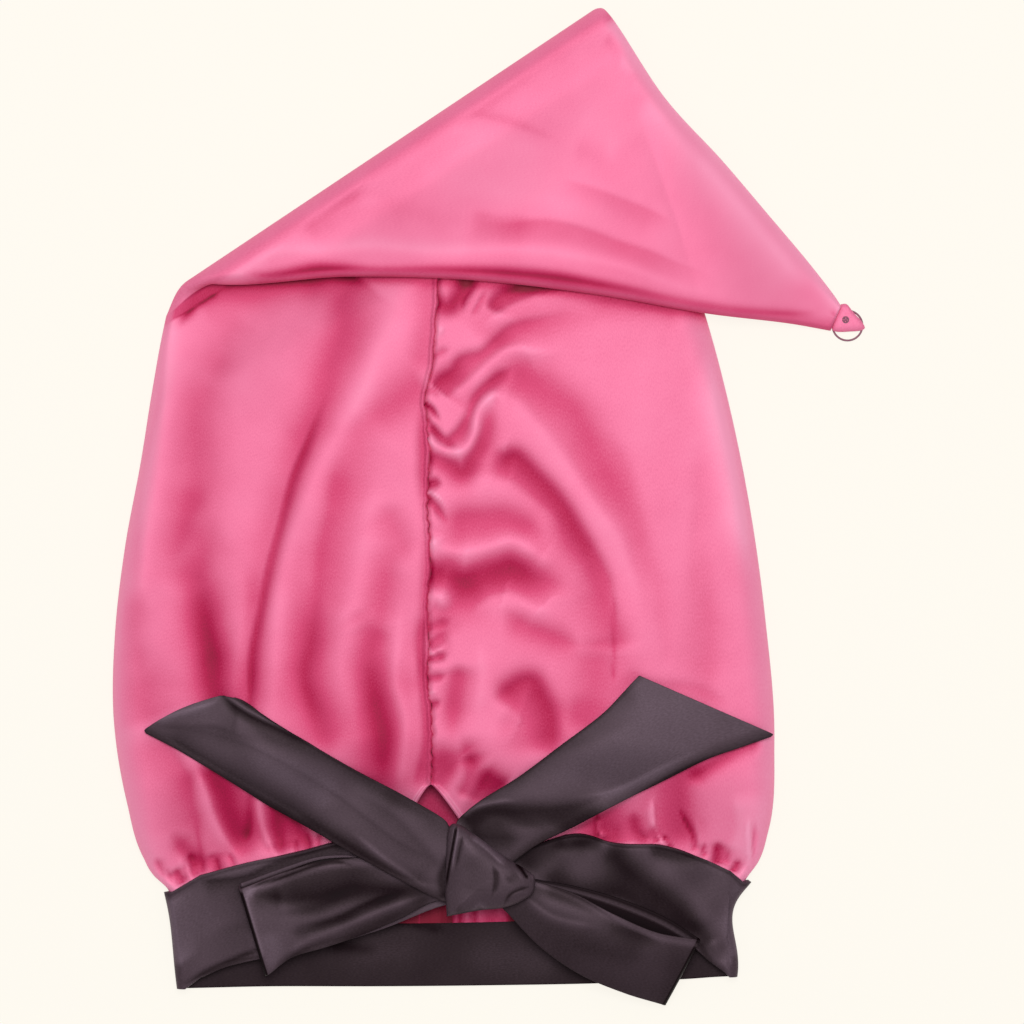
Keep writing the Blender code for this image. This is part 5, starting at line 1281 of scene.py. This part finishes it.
def stitch_lines():
    """Crossed stitches and a ring that hold the loop to the tab."""
    share = np.linspace(-1, 1, 21)
    top = TAB_SEAT + TAB_THICKNESS - 0.1
    lines = []
    for angle in np.radians((40.0, 130.0)):
        lines.append(np.column_stack((
            STUD_CENTRE[0] + 0.55 * STUD_RADIUS * share * math.cos(angle),
            STUD_CENTRE[1] + 0.55 * STUD_RADIUS * share * math.sin(angle),
            top + 0.5 * (1 - share ** 4))))
    ring = np.pi * share * 0.97
    lines.append(np.column_stack((STUD_CENTRE[0] + 0.72 * STUD_RADIUS * np.cos(ring),
                                  STUD_CENTRE[1] + 0.72 * STUD_RADIUS * np.sin(ring),
                                  top + 0.1 + 0.1 * np.sin(3 * ring))))
    return lines


# ---------------------------------------------------------------- finishes

def add_node(tree, kind, values, links=()):
    """New shader node with its sockets' values, fed by other nodes' outputs."""
    made = tree.nodes.new("ShaderNode" + kind)
    for socket, value in values.items():
        made.inputs[socket].default_value = value
    for socket, source, output in links:
        tree.links.new(source.outputs[output], made.inputs[socket])
    return made


def satin(name, colours, roughness, metal, specular, sheen, weave):
    """Satin: colour from painted highlight to painted shade by the folds, fine threads, soft
    sheen.
    """
    made = bpy.data.materials.new(name)
    made.use_nodes = True
    tree = made.node_tree
    shader = tree.nodes["Principled BSDF"]
    for socket, value in (("Roughness", roughness), ("Specular IOR Level", specular),
                          ("Metallic", metal), ("Sheen Weight", sheen),
                          ("Sheen Roughness", 0.4), ("Sheen Tint", (*colours[0], 1.0))):
        shader.inputs[socket].default_value = value

    place = add_node(tree, "TexCoord", {})
    uv = add_node(tree, "UVMap", {})
    uv.uv_map = "cloth"
    painted_shading = add_node(tree, "Attribute", {})
    painted_shading.attribute_name = "painted_shading"
    on_cloth = [("Vector", place, "Object")]
    uneven = add_node(tree, "TexNoise", {"Scale": 38.0, "Detail": 3.0}, on_cloth)
    crumple = add_node(tree, "TexNoise", {"Scale": 110.0, "Detail": 3.0}, on_cloth)
    fine = add_node(tree, "Mapping", {"Scale": weave}, [("Vector", uv, "UV")])
    grain = add_node(tree, "TexNoise", {"Scale": 1.0, "Detail": 2.0},
                     [("Vector", fine, "Vector")])

    mixed = add_node(tree, "Math", {1: 1.4}, [(0, uneven, "Fac"), (2, painted_shading, "Fac")])
    grained = add_node(tree, "Math", {1: 2.4}, [(0, grain, "Fac"), (2, mixed, 0)])
    mixed.operation = grained.operation = "MULTIPLY_ADD"
    # The painted shading, with random unevenness and grain added, picks the colour from the ramp
    depth = add_node(tree, "MapRange", {"From Min": PAINTED_SHADING_RANGE[0], "From Max": PAINTED_SHADING_RANGE[1]},
                     [("Value", grained, 0)])
    ramp = add_node(tree, "ValToRGB", {}, [("Fac", depth, 0)])
    stops = ramp.color_ramp.elements
    stops[0].color, stops[1].color = (*colours[0], 1.0), (*colours[-1], 1.0)
    for position, colour in zip(PAINTED_SHADING_STOPS, colours[1:-1]):
        stops.new(position).color = (*colour, 1.0)
    tree.links.new(ramp.outputs["Color"], shader.inputs["Base Color"])

    threads = add_node(tree, "Bump", {"Strength": 0.25, "Distance": 0.00012},
                       [("Height", grain, "Fac")])
    soft = add_node(tree, "Bump", {"Strength": 0.2, "Distance": 0.0002},
                    [("Height", crumple, "Fac"), ("Normal", threads, "Normal")])
    tree.links.new(soft.outputs["Normal"], shader.inputs["Normal"])
    return made


# Colours of the cloth, from its painted highlight to the painted shade of its deepest fold
PINK = ((0.95, 0.34, 0.53), (0.845, 0.192, 0.357), (0.626, 0.056, 0.166),
        (0.43, 0.003, 0.065), (0.20, 0.0, 0.02))
CHARCOAL = ((0.17, 0.118, 0.155), (0.073, 0.047, 0.061), (0.026, 0.015, 0.019),
            (0.007, 0.001, 0.003), (0.004, 0.001, 0.002))
MAUVE = ((0.45, 0.24, 0.30), (0.26, 0.10, 0.15), (0.16, 0.05, 0.08),
         (0.10, 0.03, 0.05), (0.08, 0.02, 0.04))
WEAVE = (1600.0, 700.0, 1.0)
THREAD = (3000.0, 3000.0, 1.0)

pink_satin = satin("pink_satin_cloth", PINK, 0.56, 0.22, 0.25, 0.1, WEAVE)
charcoal_satin = satin("charcoal_satin_cloth", CHARCOAL, 0.50, 0.4, 0.12, 0.02, WEAVE)
mauve_thread = satin("mauve_thread_cover", MAUVE, 0.5, 0.2, 0.3, 0.1, THREAD)

bag = make_crown(pink_satin)
band = make_band(charcoal_satin)
across_tail = np.linspace(0, 1, TAIL_COLUMNS)
# Painted shade along the tie ends' upper and lower edges
tail_edges = (TAIL_LOWER_PAINTED_SHADE * ramp(across_tail, *TAIL_LOWER_START)
              + TAIL_UPPER_PAINTED_SHADE * (1 - ramp(across_tail, *TAIL_UPPER_END)))
tail_left = bow_strip("tie_upper_left", tail_points(TAIL_LEFT), charcoal_satin, TAIL_FOLDS,
                      TAIL_WALL, -1.0, True, zones=tail_edges)
tail_right = bow_strip("tie_upper_right", tail_points(TAIL_RIGHT), charcoal_satin, TAIL_FOLDS,
                       TAIL_WALL, -1.0, False, zones=tail_edges + TAIL_RIGHT_PAINTED_LIGHT)
bow_left = make_loop("bow_loop_lower_left", LOOP_LEFT, charcoal_satin, False, 0.0, 0.015)
bow_right = make_loop("bow_loop_lower_right", LOOP_RIGHT, charcoal_satin, True, 2.4, 0.075)
knot = pillow("bow_knot", KNOT_OUTLINE, KNOT_SEAT, KNOT_HEIGHT, charcoal_satin, KNOT_FOLDS,
              3.0, (60, 34))
tab = pillow("tip_tab_cloth", TAB_OUTLINE, TAB_SEAT, TAB_THICKNESS, pink_satin, (), 4.0, (12, 8))
loop = threads("tip_loop_thread", [loop_line()], LOOP_WIRE, mauve_thread, closed=True)
stud = threads("tip_stitches", stitch_lines(), STITCH_WIRE, mauve_thread, sides=8)

for piece, node, slot in (
        (bag, "crown", "pink_satin"), (band, "band", "charcoal_satin"),
        (tail_left, "tail_upper_left", "charcoal_satin"),
        (tail_right, "tail_upper_right", "charcoal_satin"),
        (bow_left, "loop_lower_left", "charcoal_satin"),
        (bow_right, "loop_lower_right", "charcoal_satin"),
        (knot, "knot", "charcoal_satin"), (tab, "tip_tab", "pink_satin"),
        (loop, "tip_loop", "mauve_thread"), (stud, "tip_stud", "mauve_thread")):
    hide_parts(node)
    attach(piece, "root")

# ---------------------------------------------------------------- studio

VIEW_WIDTH = 0.512              # metres across the picture, at the bonnet
VIEW_HEIGHT = 0.012             # height at which that holds
LENS = 200.0
SENSOR = 36.0
FLOOR_REACH = 4.0
FLOOR_DROP = 0.0004


def make_floor():
    """Pale floor under the bonnet."""
    made = bpy.data.materials.new("pale_floor")
    made.use_nodes = True
    shader = made.node_tree.nodes["Principled BSDF"]
    for socket, value in (("Base Color", (0.10, 0.096, 0.088, 1.0)), ("Roughness", 0.9),
                          ("Specular IOR Level", 0.0),
                          ("Emission Color", (1.0, 0.962, 0.885, 1.0)),
                          ("Emission Strength", 0.90)):
        shader.inputs[socket].default_value = value
    mesh = bpy.data.meshes.new("floor")
    mesh.from_pydata([(FLOOR_REACH * x, FLOOR_REACH * y, 0)
                      for x, y in ((-1, -1), (1, -1), (1, 1), (-1, 1))], [], [(0, 1, 2, 3)])
    mesh.materials.append(made)
    made_floor = add_object("floor", mesh)
    made_floor.location.z = -FLOOR_DROP
    return made_floor


floor = make_floor()

scene = bpy.context.scene
scene.world = bpy.data.worlds.new("studio")
scene.world.use_nodes = True
background = scene.world.node_tree.nodes["Background"]
background.inputs["Color"].default_value = (1.0, 0.985, 0.96, 1.0)
background.inputs["Strength"].default_value = 0.49
scene.view_settings.view_transform = "Standard"

light = bpy.data.lights.new("overhead", "AREA")
light.shape = "DISK"
light.size = 1.0
light.energy = 27.0
lamp = add_object("overhead", light)
lamp.location = (0.06, 0.44, 2.2)
lamp.rotation_mode = "QUATERNION"
lamp.rotation_quaternion = (-Vector(lamp.location)).to_track_quat("-Z", "Y")

camera_data = bpy.data.cameras.new("camera")
camera_data.lens = LENS
camera_data.sensor_width = SENSOR
camera = add_object("camera", camera_data)
camera.location = (0.0115, -0.003, VIEW_HEIGHT + VIEW_WIDTH / SENSOR * LENS)
scene.camera = camera
